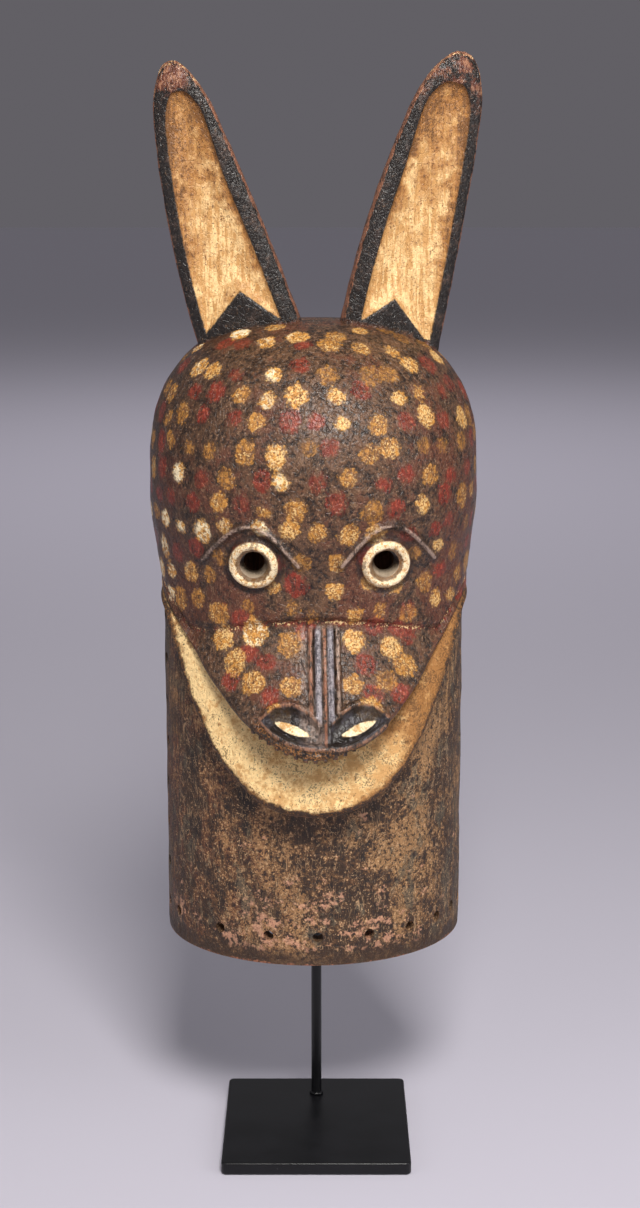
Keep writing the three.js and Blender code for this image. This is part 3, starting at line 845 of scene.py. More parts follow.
# a place in an ear's own terms: share of its length, across and how deep behind its middle
def earPlaces(shape, x, y, z):
    share = (z - (shell["top"] - ears["sink"])) / shape["length"]
    for k in range(8):
        middleX, middleZ, lean = earLine(shape, np.clip(share, 0, 1))
        along = (x - middleX) * np.sin(lean) + (z - middleZ) * np.cos(lean)
        share = np.clip(share, 0, 1) + along / shape["length"]
    share = np.clip(share, -0.2, 1.05)
    middleX, middleZ, lean = earLine(shape, np.clip(share, 0, 1))
    across = (x - middleX) * np.cos(lean) - (z - middleZ) * np.sin(lean)
    open_ = rad(shape["opening"] * shape["side"])
    deep = y - ears["behind"]
    return share, across * np.cos(open_) + deep * np.sin(open_), -across * np.sin(open_) + deep * np.cos(open_)


# distance to the nearest spot's border, and a number from 0 to 1 that belongs to that spot, higher for a large one
def nearestSpot(points, spots, lots):
    best, tone = np.full(len(points), 99.0), np.zeros(len(points))
    for place, size in spots:
        stretch = np.array((1, 1, lots.uniform(0.85, 1.2)))
        away = np.linalg.norm((points - place) * stretch, axis=1) - size
        nearer = away < best
        lot = lots.random() ** (paint["middling"] / size) ** 3
        best, tone = np.where(nearer, away, best), np.where(nearer, lot, tone)
    return best, tone


# rows of dabs over the dome, ochre and red by lot, and the muzzle's dabs at their own places
def domeSpots(points, front):
    lots = random.Random(paint["seed"])
    ochre, red = [], []
    z, row = paint["lowest"], 0
    while z < paint["highest"]:
        width = float(halfWidthAt(np.float64(z)))
        count = max(int(round(math.pi * width / paint["domeSpacing"])), 3)
        for k in range(count + 1):
            jitter = lots.uniform(-1, 1) * paint["domeJitter"] / width * 57
            angle = -90 + 180 * (k + 0.5 * (row % 2)) / count + jitter
            if abs(angle) > paint["furthestAngle"]:
                continue
            height = z + lots.uniform(-1, 1) * paint["domeJitter"] * 0.8
            place = formPoints(np.float64(angle), np.float64(height), 1.0, 0)
            if lots.random() < paint["ochreShare"] + 0.1 * (-1) ** (k + row):
                ochre.append((place, lots.uniform(*paint["ochreSize"])))
            else:
                red.append((place, lots.uniform(*paint["redSize"])))
        slope = abs(float(halfWidthAt(np.float64(z + 1))) - width)
        z += paint["domeSpacing"] * paint["rowGap"] / math.hypot(1, slope)
        row += 1
    onFront = points[front]
    for kind, size, spots in (("muzzleOchre", 0, ochre), ("muzzleRed", -1.2, red)):
        for sx, sz in paint[kind]:
            nearest = np.argmin((onFront[:, 0] - sx) ** 2 + (onFront[:, 2] - sz) ** 2)
            spots.append((onFront[nearest], paint["muzzleSize"] + size + lots.uniform(-1.2, 1)))
    return ochre, red


# what the paint reads: for each vertex its distance from each border, in mm
def paintPlaces(piece):
    points = pointsOf(piece) / mm
    count = len(points)
    x, y, z = points.T
    width, depth = np.maximum(halfWidthAt(z), 1), np.maximum(depthAt(z), 1)
    front = np.minimum(y, 0)
    angle = np.degrees(np.arctan2(x / width, -front / depth))
    middle = 7
    insideMeasure = np.hypot(x / np.maximum(halfWidthAt(z, middle), 1), front / np.maximum(depthAt(z, middle), 1))
    inside = (insideMeasure < 1) & (z < shell["top"] - middle)
    for side in (-1, 1):
        ex, ez = eyeCentre(side)
        inside &= ~((np.hypot(x - ex, z - ez) < eyes["hole"] / 2 + 0.4) & (y < 0))
    outside = np.hypot(x / np.maximum(halfWidthAt(z) + 1.3, 2), front / np.maximum(depthAt(z) + 1.3, 2)) > 1
    values = {}

    earCream, earAlong, earEdge = np.full(count, -20.0), np.zeros(count), np.zeros(count)
    onEar = np.zeros(count, bool)
    for key in ("left", "right"):
        shape = ears[key]
        share, across, deep = earPlaces(shape, x, y, z)
        half = np.maximum(earHalf(shape, np.clip(share, 0, 0.999)), 1)
        atRoot = outside & (np.abs(across) < half + 5) & (share > 0.03)
        mine = (z > 440) & (atRoot | (z > shell["top"] + 3)) & (x * shape["side"] > -8) & ~inside
        sunk = hollowDepth(shape, across / half, share)
        sunk = np.where(deep < 4, sunk, -20)
        edge = smooth(3.6, 0.6, half - np.abs(across)) + smooth(0.972, 0.992, share)
        earCream, earAlong = np.where(mine, sunk, earCream), np.where(mine, share, earAlong)
        earEdge = np.where(mine, np.clip(edge, 0, 1), earEdge)
        onEar |= mine
    values["earCream"], values["earAlong"], values["earEdge"], values["onEar"] = earCream, earAlong, earEdge, onEar

    step = 0.5
    arc = rad(2 * step) * width
    mouth, jaw = mouthHeight(angle), jawEdgeHeight(angle)
    jawSlope = np.hypot(1, (jawEdgeHeight(angle + step) - jawEdgeHeight(angle - step)) / arc)
    mouthSlope = np.hypot(1, (mouthHeight(angle + step) - mouthHeight(angle - step)) / arc)
    onJaw = np.where(np.abs(angle) < face["corner"] - 1, 0, -20)
    values["jawUp"] = np.clip((z - jaw) / jawSlope, -20, 60) + onJaw
    values["jawDown"] = np.clip((mouth - z) / mouthSlope, -20, 60) + onJaw
    values["head"] = np.clip((z - mouth) / mouthSlope, -20, 60)
    values["inside"] = inside
    values["turn"] = angle / 90

    ochre, red = domeSpots(points, (y < -30) & outside & ~inside)
    free = ~inside & ~onEar & (z > mouth)
    lots = random.Random(paint["seed"] + 1)
    ochreAway, values["ochreTone"] = nearestSpot(points, ochre, lots)
    redAway, values["redTone"] = nearestSpot(points, red, lots)
    values["ochre"], values["red"] = np.where(free, ochreAway, 20), np.where(free, redAway, 20)

    ring, brow = np.full(count, 20.0), np.full(count, 20.0)
    for side in (-1, 1):
        ex, ez = eyeCentre(side)
        away = np.hypot(x - ex, z - ez)
        ring = np.where(y < 0, np.minimum(ring, away - eyes["ring"] / 2), ring)
        brow = np.where(y < 0, np.minimum(brow, lineDistance(x, z, browLine(side))), brow)
    values["ring"], values["brow"] = np.where(inside, 20, ring), np.where(inside, 20, brow)

    away = x - snout["aside"]
    top = creaseHeight(angle) - 2
    onNose = (y < -60) & ~inside & (z > mouth)
    values["noseAcross"] = np.where(onNose, away, 40)
    values["noseUp"] = np.where(onNose, np.minimum(z - lipRidge(away), top - z), -20)
    values["lipUp"] = np.where(onNose, z - lipRidge(away), 40)
    values["nostrilDown"] = np.where(onNose, nostrilTop(away) - z, -20)
    values["lipWide"] = np.where(onNose, snout["nostrilOuter"] - np.abs(away), -20)
    values["lens"] = np.where(onNose, lensInside(away, z), -20)
    crease = np.abs(z - creaseHeight(angle)) * np.where(np.abs(angle) < 80, 1, 9)
    values["crease"] = np.where(free, np.clip(crease, 0, 20), 20)
    values["rim"] = z
    for name, value in values.items():
        layer = piece.data.attributes.new(name, "FLOAT", "POINT")
        layer.data.foreach_set("value", np.asarray(value, np.float32))


weldSlivers(mask)
paintPlaces(mask)
print("stage: paint laid out")


def shadeSmooth(piece):
    pick(piece)
    bpy.ops.object.shade_smooth_by_angle(angle=math.radians(38))


# materials are written as sums on sockets

class Wire:
    def __init__(self, recipe, socket):
        self.recipe = recipe
        self.socket = socket

    def maths(self, operation, *values):
        return self.recipe.node("ShaderNodeMath", {"operation": operation}, values)

    def __add__(self, other):
        return self.maths("ADD", self, other)

    def __sub__(self, other):
        return self.maths("SUBTRACT", self, other)

    def __mul__(self, other):
        return self.maths("MULTIPLY", self, other)

    def __abs__(self):
        return self.maths("ABSOLUTE", self)

    # colour @ (share, tone) is the colour with that share of the tone laid over it
    def __matmul__(self, coat):
        share, tone = coat
        return self.recipe.blend(share, self, tone)

    def lower(self, other):
        return self.maths("MINIMUM", self, other)

    def higher(self, other):
        return self.maths("MAXIMUM", self, other)

    __radd__ = __add__
    __rmul__ = __mul__


class Recipe:
    def __init__(self, name, **fixed):
        self.material = bpy.data.materials.new(name)
        self.material.use_nodes = True
        self.tree = self.material.node_tree
        self.shader = self.tree.nodes["Principled BSDF"]
        for key, value in fixed.items():
            self.shader.inputs[key.replace("_", " ")].default_value = value
        self.place = self.node("ShaderNodeTexCoord", output="Object")

    def join(self, value, socket):
        if isinstance(value, Wire):
            self.tree.links.new(value.socket, socket)
        else:
            socket.default_value = value

    def node(self, kind, settings={}, inputs=(), output=0):
        made = self.tree.nodes.new(kind)
        for key, value in settings.items():
            setattr(made, key, value)
        for key, value in inputs.items() if isinstance(inputs, dict) else enumerate(inputs):
            self.join(value, made.inputs[key])
        return Wire(self, made.outputs[output])

    def layer(self, name):
        return self.node("ShaderNodeAttribute", {"attribute_name": name}, output="Fac")

    # the place in units of this many mm, across and up, moved on by a seed
    def scaled(self, across, up, seed=0):
        size = (1 / (across * mm), 1 / (across * mm), 1 / ((up or across) * mm))
        return self.node("ShaderNodeVectorMath", {"operation": "MULTIPLY_ADD"},
                         [self.place, size, (seed, seed * 1.7, seed * 0.6)])

    def grain(self, across, up=None, detail=4, rough=0.55, twist=0, seed=0):
        return self.node("ShaderNodeTexNoise", {}, {"Vector": self.scaled(across, up, seed), "Scale": 1,
                                                    "Detail": detail, "Roughness": rough, "Distortion": twist})

    def cells(self, across, up=None, feature="DISTANCE_TO_EDGE"):
        return self.node("ShaderNodeTexVoronoi", {"feature": feature}, {"Vector": self.scaled(across, up), "Scale": 1})

    def soft(self, value, low, high):
        return self.node("ShaderNodeMapRange", {"interpolation_type": "SMOOTHSTEP"}, [value, low, high, 0, 1])

    def blend(self, share, under, over):
        under, over = [c if isinstance(c, Wire) else (*tones.get(c, c), 1) for c in (under, over)]
        return self.node("ShaderNodeMix", {"data_type": "RGBA"}, {0: share, 6: under, 7: over}, 2)

    def finish(self, colour, rough, height, strength, distance=0.001):
        self.join(colour, self.shader.inputs["Base Color"])
        self.join(rough, self.shader.inputs["Roughness"])
        normal = self.node("ShaderNodeBump", {}, {"Strength": strength, "Distance": distance, "Height": height})
        self.join(normal, self.shader.inputs["Normal"])
        return self.material


# colours as red, green and blue from 0 to 255, turned into light values
tones = {
    "domeDark": (46, 30, 20),
    "domeBrown": (95, 66, 45),
    "domeRed": (92, 48, 32),
    "domePale": (154, 122, 94),
    "ochreDark": (132, 82, 34),
    "ochre": (204, 142, 62),
    "ochrePale": (240, 200, 132),
    "chalk": (252, 232, 192),
    "red": (128, 42, 26),
    "redPale": (178, 82, 58),
    "cream": (208, 160, 100),
    "creamPale": (246, 212, 152),
    "creamBrown": (152, 100, 46),
    "earCream": (190, 142, 84),
    "earPale": (238, 200, 142),
    "creamStain": (92, 58, 28),
    "black": (26, 20, 17),
    "blackWorn": (66, 50, 42),
    "copper": (150, 98, 72),
    "copperWorn": (158, 112, 84),
    "blueGrey": (156, 150, 156),
    "nosePale": (176, 150, 134),
    "slate": (66, 66, 74),
    "eyeWallLit": (190, 172, 148),
    "tubeDark": (56, 37, 23),
    "tubeBrown": (108, 74, 46),
    "tubeTan": (166, 126, 82),
    "tubePale": (206, 168, 126),
    "tubeRed": (104, 58, 38),
    "tubePink": (204, 150, 120),
    "tubeGrey": (88, 80, 64),
    "woodDark": (84, 60, 42),
    "woodPale": (146, 110, 78),
}
tones = {name: tuple(((c / 255 + 0.055) / 1.055) ** 2.4 for c in tone) for name, tone in tones.items()}


def maskPaint():
    r = Recipe("painted_carved_wood", Specular_IOR_Level=0.45)
    soft, blend, grain, layer = r.soft, r.blend, r.grain, r.layer
    fine = grain(1.3, detail=2, rough=0.55, seed=3)
    grit = grain(3.2, detail=4, rough=0.62, seed=11)
    mid = grain(11, detail=4, rough=0.6, seed=5)
    broad = grain(50, 70, detail=3, seed=8)
    streak = grain(2.8, 52, detail=5, rough=0.62, twist=0.5, seed=2)
    scratch = grain(2.4, 7, detail=4, rough=0.68, twist=0.9, seed=21)
    hair = grain(9, 30, detail=3, rough=0.6, twist=1.2, seed=41)
    cloud = grain(19, detail=5, rough=0.62, seed=64)
    blob = r.cells(3.3, feature="F1")
    crackle = r.cells(4.2, 6.0)
    head, inside, onEar = layer("head"), layer("inside"), layer("onEar")
    turn, height = layer("turn"), layer("rim")
    # how far each noise lies from its middle, which moves a border to and fro
    gritOff, midOff, fineOff, broadOff = [wire - 0.5 for wire in (grit, mid, fine, broad)]
    scratchOff, streakOff, cloudOff = [wire - 0.5 for wire in (scratch, streak, cloud)]
    fleck = fine + gritOff * 0.6
    cracks = soft(abs(hair - 0.5), 0.012, 0.002)

    # ground of the dome and muzzle
    ground = blend(soft(mid + gritOff * 0.8, 0.34, 0.66), "domeDark", "domeBrown")
    low = soft(height + midOff * 60, 350, 300) * soft(height + midOff * 30, 258, 278)
    redder = soft(broad + low * 0.16 + abs(turn) * 0.10 + midOff * 0.8, 0.52, 0.72) * 0.75
    ground @= redder, "domeRed"
    # painted shade: the left side of the dome is darkened towards domeDark
    ground @= soft(turn + broadOff * 0.8, -0.25, -0.75) * 0.5, "domeDark"
    ground @= soft(grit + fineOff * 0.5, 0.46, 0.36) * 0.7, "black"
    ground @= soft(fleck + scratchOff * 0.5, 0.60, 0.74) * 0.55, "domePale"
    ground @= cracks * 0.35, "domePale"

    # crusty patina of the tube
    crust = fine * 0.4 + grit * 0.6
    tube = blend(soft(mid + broadOff * 0.6 + gritOff * 0.6, 0.36, 0.64), "tubeDark", "tubeBrown")
    tube @= soft(broad - turn * 0.24 + midOff * 0.4, 0.54, 0.70) * 0.75, "tubeRed"
    # tan crust patches; the turn terms add more of them on the right and fewer at the sides, as painted light and
    # shade
    light = crust + broadOff * 0.7 + midOff * 0.5 + turn * 0.03 - soft(abs(turn), 0.2, 0.6) * 0.02
    tube @= soft(light, 0.47, 0.62) * 0.72, "tubeTan"
    soot = grain(22, 46, detail=5, rough=0.66, seed=31)
    # black patches; the turn term puts more of them on the left, as painted shade
    tube @= soft(soot + gritOff * 0.5 - turn * 0.05, 0.55, 0.64) * 0.8, "black"
    grey = grain(16, 30, detail=3, rough=0.55, seed=57)
    tube @= soft(grey + gritOff * 0.3 + abs(turn) * 0.10, 0.62, 0.68) * 0.7, "tubeGrey"
    pink = grain(24, 15, detail=4, rough=0.6, seed=73)
    pinkLow = soft(height + midOff * 30, 74, 30) * soft(height, 4, 14) * 0.10 - abs(turn) * 0.14
    tube @= soft(pink + pinkLow + gritOff * 0.5, 0.60, 0.70) * 0.75, "tubePink"
    tube @= soft(fleck + midOff * 0.3, 0.62, 0.72) * 0.7, "tubePale"
    tube @= soft(grit + fineOff * 0.6, 0.46, 0.36) * 0.75, "black"
    tube @= soft(crackle, 0.05, 0.0) * soft(mid, 0.45, 0.6) * 0.6, "black"
    sides = soft(abs(turn), 0.45, 0.75) * 0.75
    tube @= sides * soft(streak + gritOff * 0.3, 0.54, 0.44), "tubeDark"
    tube @= cracks * 0.5, "tubePale"
    wornRim = soft(height + gritOff * 6 + midOff * 8, 1.8, 0.4)
    tube @= soft(height + midOff * 18, 18, 5) * 0.82, "tubeDark"
    tube @= wornRim * soft(scratch, 0.38, 0.54) * 0.9, "copper"

    colour = blend(soft(head + gritOff * 5, -1.0, 1.0), tube, ground)

    # dabs of ochre and red, each a ragged rosette, mottled and broken by wear
    ragged = (blob - 0.40) * 2.0 + gritOff * 9 + midOff * 10
    red = soft(layer("red") + ragged, 1.6, -1.8) * soft(scratch + midOff * 0.5, 0.30, 0.56)
    redTone = blend(soft(fleck - (blob - 0.4) * 0.4, 0.46, 0.72), "red", "redPale")
    colour @= red * (0.50 + layer("redTone") * 0.40), redTone
    ochreLot = layer("ochreTone")
    worn = soft(scratch + fineOff * 0.5 + ochreLot * 0.12, 0.38, 0.60)
    ochre = soft(layer("ochre") + ragged, 1.2, -1.8) * (0.30 + worn * 0.70)
    ochreTone = blend(soft(blob * 0.3 + gritOff * 1.3, 0.30, 0.00), "ochreDark", "ochre")
    paler = soft(fleck + midOff * 0.5 + (ochreLot - 0.5) * 0.24, 0.53, 0.68) * 0.85
    ochreTone @= paler, "ochrePale"
    chalky = soft(ochreLot - turn * 0.5 + broadOff * 0.8, 0.92, 1.06)
    ochreTone @= chalky * soft(grit + midOff * 0.6, 0.46, 0.56), "chalk"
    colour @= ochre * (0.58 + ochreLot * 0.38 - turn * 0.15), ochreTone

    # muzzle, nose and nostrils
    creaseAway = layer("crease")
    # painted shade: the crease under the forehead's overhang is darkened with black
    crease = soft(creaseAway + gritOff * 4 + midOff * 4, 3.0, 0.2)
    colour @= crease * soft(mid, 0.36, 0.6) * 0.5, "black"
    creaseRed = soft(creaseAway + gritOff * 8, 3.4, 0.8) * soft(scratch + midOff * 0.8, 0.50, 0.60)
    colour @= creaseRed * 0.7, "red"
    creaseFleck = soft(creaseAway + gritOff * 5, 2.2, 0.8) * soft(fleck + midOff * 0.9, 0.60, 0.70)
    colour @= creaseFleck * 0.8, "creamPale"
    lipUp, lipWide, nostrilDown = layer("lipUp"), layer("lipWide"), layer("nostrilDown")
    noseSide = layer("noseAcross") + gritOff * 1.2
    noseAcross = abs(noseSide)
    # painted shade: the teeth and lip face under the lip ridge are darkened to black, flecked with the teeth's brown
    paintedMouthShade = soft(lipUp, 1.0, -1.5) * soft(lipWide, -8, 3) * soft(head, -0.5, 0.5)
    teethInPaintedShade = blend(soft(fleck, 0.46, 0.68), "black", "creamBrown")
    colour @= paintedMouthShade * 0.85, teethInPaintedShade
    slate = blend(soft(mid + gritOff * 0.6, 0.46, 0.76), "black", "slate")
    nostril = soft(nostrilDown, -1, 1) * soft(lipUp, -2, 0) * soft(lipWide, -5, 1)
    colour @= nostril * 0.92, slate
    noseUp = soft(layer("noseUp") + gritOff * 4, 0, 5)
    ridgesUp = noseUp * soft(nostrilDown + midOff * 6, 2, -4)
    # painted highlight: a pale grey band down the left side of the nose
    noseSideHighlight = soft(noseAcross, 21, 14) * noseUp * soft(noseSide + mid * 6, 6, 0)
    noseSideHighlightTone = blend(soft(streak + gritOff * 0.5, 0.40, 0.64), "blackWorn", "nosePale")
    colour @= noseSideHighlight * 0.5, noseSideHighlightTone
    # the two broad nose ridges are streaked blue-grey: partly their paint, partly painted highlight
    ridgePaintAndHighlight = blend(soft(streak + fineOff * 0.5, 0.30, 0.62), "slate", "blueGrey")
    colour @= soft(abs(noseAcross - 4.7), 3.0, 1.7) * ridgesUp * 0.78, ridgePaintAndHighlight
    outerRidge = soft(abs(noseAcross - 10.3), 1.9, 0.7) * ridgesUp
    outerTone = blend(soft(noseSide, -2, 2), "copper", "nosePale")
    colour @= outerRidge * soft(streak + gritOff * 0.6, 0.38, 0.58) * 0.8, outerTone
    # painted shade: black along the grooves between the nose ridges
    groove = soft(abs(noseAcross - 7.8), 1.2, 0.3).higher(soft(abs(noseAcross - 13.0), 1.3, 0.3) * 0.6)
    groove = groove.higher(soft(abs(noseAcross - 2.0), 0.8, 0.2) * 0.8)
    colour @= groove * ridgesUp * 0.75, "black"
    middleLine = soft(abs(noseSide - 0.3), 1.5, 0.6) * noseUp * soft(grit + midOff * 0.4, 0.34, 0.52)
    colour @= middleLine * 0.75, "copper"
    rims = soft(abs(nostrilDown), 2.0, 0.6).higher(soft(abs(lipUp), 2.0, 0.6)) * soft(lipWide + gritOff * 6, -3, 1)
    rims = rims * soft(noseAcross + nostrilDown * 0.4, 3, 8)
    colour @= rims * soft(scratch + midOff * 0.6, 0.40, 0.62) * 0.7, "copperWorn"
    patch = soft(layer("lens") + gritOff * 1.8, 0.4, 1.3)
    lensTone = blend(soft(mid + (fleck - 0.5) * 0.4, 0.36, 0.54), "cream", "chalk")
    colour @= patch, lensTone

    # eye rings and brows
    ring = layer("ring")
    colour @= soft(abs(ring - 2.5) + gritOff * 2.4, 3, 1.2) * 0.6, "black"
    onRing = soft(ring + gritOff * 1.8, 0.3, -0.7) * soft(ring + eyes["ringWidth"], -1.2, 0)
    ringTone = blend(soft(grit + fineOff * 0.5, 0.36, 0.54), "cream", "chalk")
    ringTone @= soft(ring + gritOff * 3.5, -4.6, -6.0) * 0.85, "creamStain"
    ringTone @= soft(fleck, 0.60, 0.68) * 0.7, "creamBrown"
    ringTone @= soft(hair + gritOff * 0.4, 0.62, 0.66) * 0.6, "creamStain"
    colour @= onRing * soft(scratch, 0.28, 0.38), ringTone
    # painted light and shade: the eye hole's wall is pale below the eye's middle, where light falls in, and dark above
    # it
    eyeWallLitAndShaded = blend(soft(height + gritOff * 4, eyes["height"] + 1, eyes["height"] - 5), "tubeDark", "eyeWallLit")
    colour @= soft(ring + eyes["ringWidth"], -0.2, -1.0) * 0.9, eyeWallLitAndShaded
    brow = layer("brow")
    colour @= soft(brow + gritOff * 2, 5.5, 2.5) * 0.45, "black"
    # the brow's crest is paled in patches: partly wear, partly a painted highlight along its top
    browWearAndHighlight = soft(brow + gritOff * 1.6, 2.0, 0.6) * soft(mid + scratchOff * 0.6, 0.34, 0.56)
    colour @= browWearAndHighlight * 0.85, "nosePale"

    # jaw band: thick cream, browned along its edges and on one side, speckled all over
    up, down = layer("jawUp"), layer("jawDown")
    band = soft(up + midOff * 9 + gritOff * 5, 3.4, 6.0) * soft(down + gritOff * 3, 0.6, 2.8)
    under = soft(up + gritOff * 2, -1.5, 0.5) * soft(down, 0, 1)
    underTone = blend(soft(fleck + midOff * 0.4, 0.48, 0.72), "tubeDark", "creamBrown")
    colour @= under * 0.85, underTone
    bandTone = blend(soft(mid + gritOff * 0.9 - turn * 0.3, 0.36, 0.60), "cream", "creamPale")
    edges = soft(up.lower(down * 1.3) + midOff * 9, 9.5, 2.5)
    rightward = soft(turn + broadOff * 0.3, 0.02, 0.42)
    browned = edges * 0.36 + rightward * 0.60 + cloudOff * 1.8 + gritOff * 1.1
    bandTone @= soft(browned, 0.10, 0.62) * 0.88, "creamBrown"
    stained = fleck + midOff * 0.7 + edges * 0.06 + rightward * 0.07
    bandTone @= soft(stained, 0.56, 0.72) * 0.7, "creamStain"
    colour @= band * soft(scratch + gritOff * 0.5, 0.26, 0.36), bandTone
    # painted shadow and dirt: the band is stained dark just under the teeth, in the middle
    teethShadowAndDirt = soft(down + midOff * 5 + abs(turn) * 26, 15, 4)
    colour @= teethShadowAndDirt * under * 0.85, blend(soft(fleck, 0.44, 0.66), "creamStain", "creamBrown")
    # painted shadow: darker still right under the teeth
    colour @= soft(down + gritOff * 3 + abs(turn) * 14, 6, 0) * under * 0.8, "domeDark"
    # painted shade: a dark line along the mouth groove at the band's sides
    mouthGrooveShade = soft(down + gritOff * 2.5, 3.2, 1.0) * soft(abs(turn), 0.12, 0.3)
    colour @= mouthGrooveShade * under * 0.8, "domeDark"

    # ears
    earCream, earAlong, earEdge = layer("earCream"), layer("earAlong"), layer("earEdge")
    earGround = blend(soft(mid + gritOff * 0.6, 0.50, 0.80), "black", "blackWorn")
    browner = soft(earAlong + midOff * 0.3, 0.84, 0.97)
    earGround @= browner * soft(mid + gritOff * 0.6, 0.42, 0.60), "domeRed"
    earGround @= browner * soft(scratch + midOff * 0.5, 0.52, 0.64) * 0.8, "copperWorn"
    earGround @= soft(fleck, 0.64, 0.74) * 0.3, "domePale"
    edgeWorn = soft(earEdge + gritOff * 0.8 + midOff * 1.0, 0.66, 0.9) * soft(scratch, 0.36, 0.52)
    earGround @= edgeWorn * 0.75, "copper"
    earGround @= edgeWorn * browner * soft(fleck, 0.54, 0.66) * 0.8, "creamPale"
    earTone = blend(soft(streak + midOff * 0.6 + gritOff * 0.4, 0.40, 0.62), "earCream", "earPale")
    # the hollow turns browner higher up and near its border: grime towards the tip, and painted shade in the recess
    # along the frame
    higher = soft(earAlong, 0.25, 0.9) * 0.44 - soft(earAlong, 0.36, 0.12) * 0.30
    earGrimeAndShade = soft(earCream + midOff * 16, 11, 0) * 0.42 + higher
    earGrimeAndShade = earGrimeAndShade + streakOff * 1.3 + gritOff * 1.0 + cloudOff * 1.6
    earTone @= soft(earGrimeAndShade, 0.0, 0.52) * 0.88, "creamBrown"
    earTone @= soft(earGrimeAndShade + (fleck - 0.5) * 0.8, 0.42, 0.80) * 0.75, "creamStain"
    earTone @= soft(fleck + streakOff * 0.4, 0.62, 0.72) * 0.7, "creamStain"
    hollow = soft(earCream + gritOff * 2.4, 0.4, 1.8)
    colour @= onEar, blend(hollow, earGround, earTone)

    # bare wood inside
    wood = blend(soft(streak, 0.34, 0.66), "woodDark", "woodPale")
    wood @= soft(mid, 0.5, 0.7) * 0.6, "woodDark"
    colour @= inside, wood

    creams = band.higher(hollow * onEar).higher(ochre)
    rough = 0.34 + midOff * 0.30 + gritOff * 0.35
    rough = rough + creams * 0.12 + soft(head, 1, -1) * 0.24 + inside * 0.3
    lift = grit * 0.60 + fine * 0.30 + mid * 0.7 + soft(crackle, 0.0, 0.09) * 0.22 + streak * 0.3 - cracks * 0.25
    lift = lift + ochre * 0.12 + band * (fleck - 0.5) * 0.4
    return r.finish(colour, rough.lower(0.95), lift, 0.85, 0.0013)


mask.data.materials.clear()
mask.data.materials.append(maskPaint())


# the stand's steel pieces with their rounded edges and weld beads, sized from the CAD pieces that they replace
steel = {
    "plateCorner": 4.5,
    "plateEdge": 1.5,
    "rod": 8.5,
    "rodSides": 48,
    "bead": 1.3,
    "beadMarks": (2.4, 6.6, 0.05),
    "bar": (64, 12, 4),
    "barEdge": 0.8,
    "stay": 7,
    "pad": (16, 3),
    "padEdge": 0.7,
    "black": (0.0026, 0.0026, 0.0034),
    "blackWorn": (0.0050, 0.0050, 0.0064),
    "dust": (0.30, 0.30, 0.31),
}


def blackPaint():
    r = Recipe("black_satin_paint", Specular_IOR_Level=0.34)
    texture = r.grain(0.9, detail=2, seed=4)
    cloud = r.grain(30, detail=4, seed=9)
    dust = r.soft(r.grain(2.4, detail=1, seed=17), 0.80, 0.86)
    colour = r.blend(r.soft(cloud, 0.35, 0.7), steel["black"], steel["blackWorn"])
    colour @= dust * 0.5, steel["dust"]
    rough = 0.24 + cloud * 0.16 + dust * 0.3
    return r.finish(colour, rough, texture, 0.25, 0.0003)


def nodeBox(name):
    node = frame["nodes"][name]
    corners = np.array([node.matrix_world @ Vector(corner) for corner in node.bound_box]) / mm
    return corners.min(0), corners.max(0)


def settle(place, name, turn=(0, 0, 0)):
    piece = bpy.context.object
    piece.name = piece.data.name = name
    piece.location = Vector(place) * mm
    piece.rotation_euler = turn
    pick(piece)
    bpy.ops.object.transform_apply(location=True, rotation=True, scale=True)
    return piece


def roundBar(start, end, diameter, name, edge=0):
    start, end = Vector(start), Vector(end)
    deselectAll()
    bpy.ops.mesh.primitive_cylinder_add(vertices=steel["rodSides"], radius=diameter / 2 * mm,
                                        depth=(end - start).length * mm)
    piece = settle((start + end) / 2, name, (end - start).to_track_quat("Z", "Y").to_euler())
    if edge:
        applyModifier(piece, "BEVEL", width=edge * mm, segments=3, limit_method="ANGLE", angle_limit=1.0)
    return piece


def weldBead(place, diameter, name, turn=(0, 0, 0)):
    deselectAll()
    thick = steel["bead"] * mm
    bpy.ops.mesh.primitive_torus_add(major_radius=diameter / 2 * mm + thick * 0.2, minor_radius=thick,
                                     major_segments=steel["rodSides"], minor_segments=12)
    piece = settle(place, name, turn)
    points = pointsOf(piece)
    centre = np.array(place) * mm
    points = centre + (points - centre) * (1 + toolMarks(points / mm, *steel["beadMarks"])[:, None])
    piece.data.vertices.foreach_set("co", points.ravel())
    return piece


def makePlate():
    low, high = nodeBox("base_plate")
    deselectAll()
    bpy.ops.mesh.primitive_plane_add(size=(high[0] - low[0]) * mm)
    piece = settle(((low[0] + high[0]) / 2, (low[1] + high[1]) / 2, high[2]), "steel_plate")
    applyModifier(piece, "BEVEL", affect="VERTICES", width=steel["plateCorner"] * mm, segments=8)
    applyModifier(piece, "SOLIDIFY", thickness=(high[2] - low[2]) * mm, offset=-1)
    applyModifier(piece, "BEVEL", width=steel["plateEdge"] * mm, segments=4, limit_method="ANGLE", angle_limit=1.0)
    return piece


def makeRod():
    low, high = nodeBox("stand_rod")
    plateTop = nodeBox("base_plate")[1][2]
    foot, crown = (0, hang["rodY"], low[2]), (0, hang["rodY"], high[2] - steel["bar"][2] / 2)
    rod = roundBar(foot, crown, steel["rod"], "steel_rod")
    halfSide = math.pi / steel["rodSides"]
    bead = weldBead((0, hang["rodY"], plateTop + steel["bead"] * 0.9), steel["rod"], "rod_bead", (0, 0, halfSide))
    deselectAll()
    bpy.ops.mesh.primitive_cube_add(size=mm)
    bpy.context.object.scale = steel["bar"]
    crossbar = settle(crown, "crown_bar", (0, 0, math.radians(hang["turn"])))
    applyModifier(crossbar, "BEVEL", width=steel["barEdge"] * mm, segments=3)
    boolean(rod, bead, "UNION")
    boolean(rod, crossbar, "UNION")
    weldSlivers(rod)
    return rod


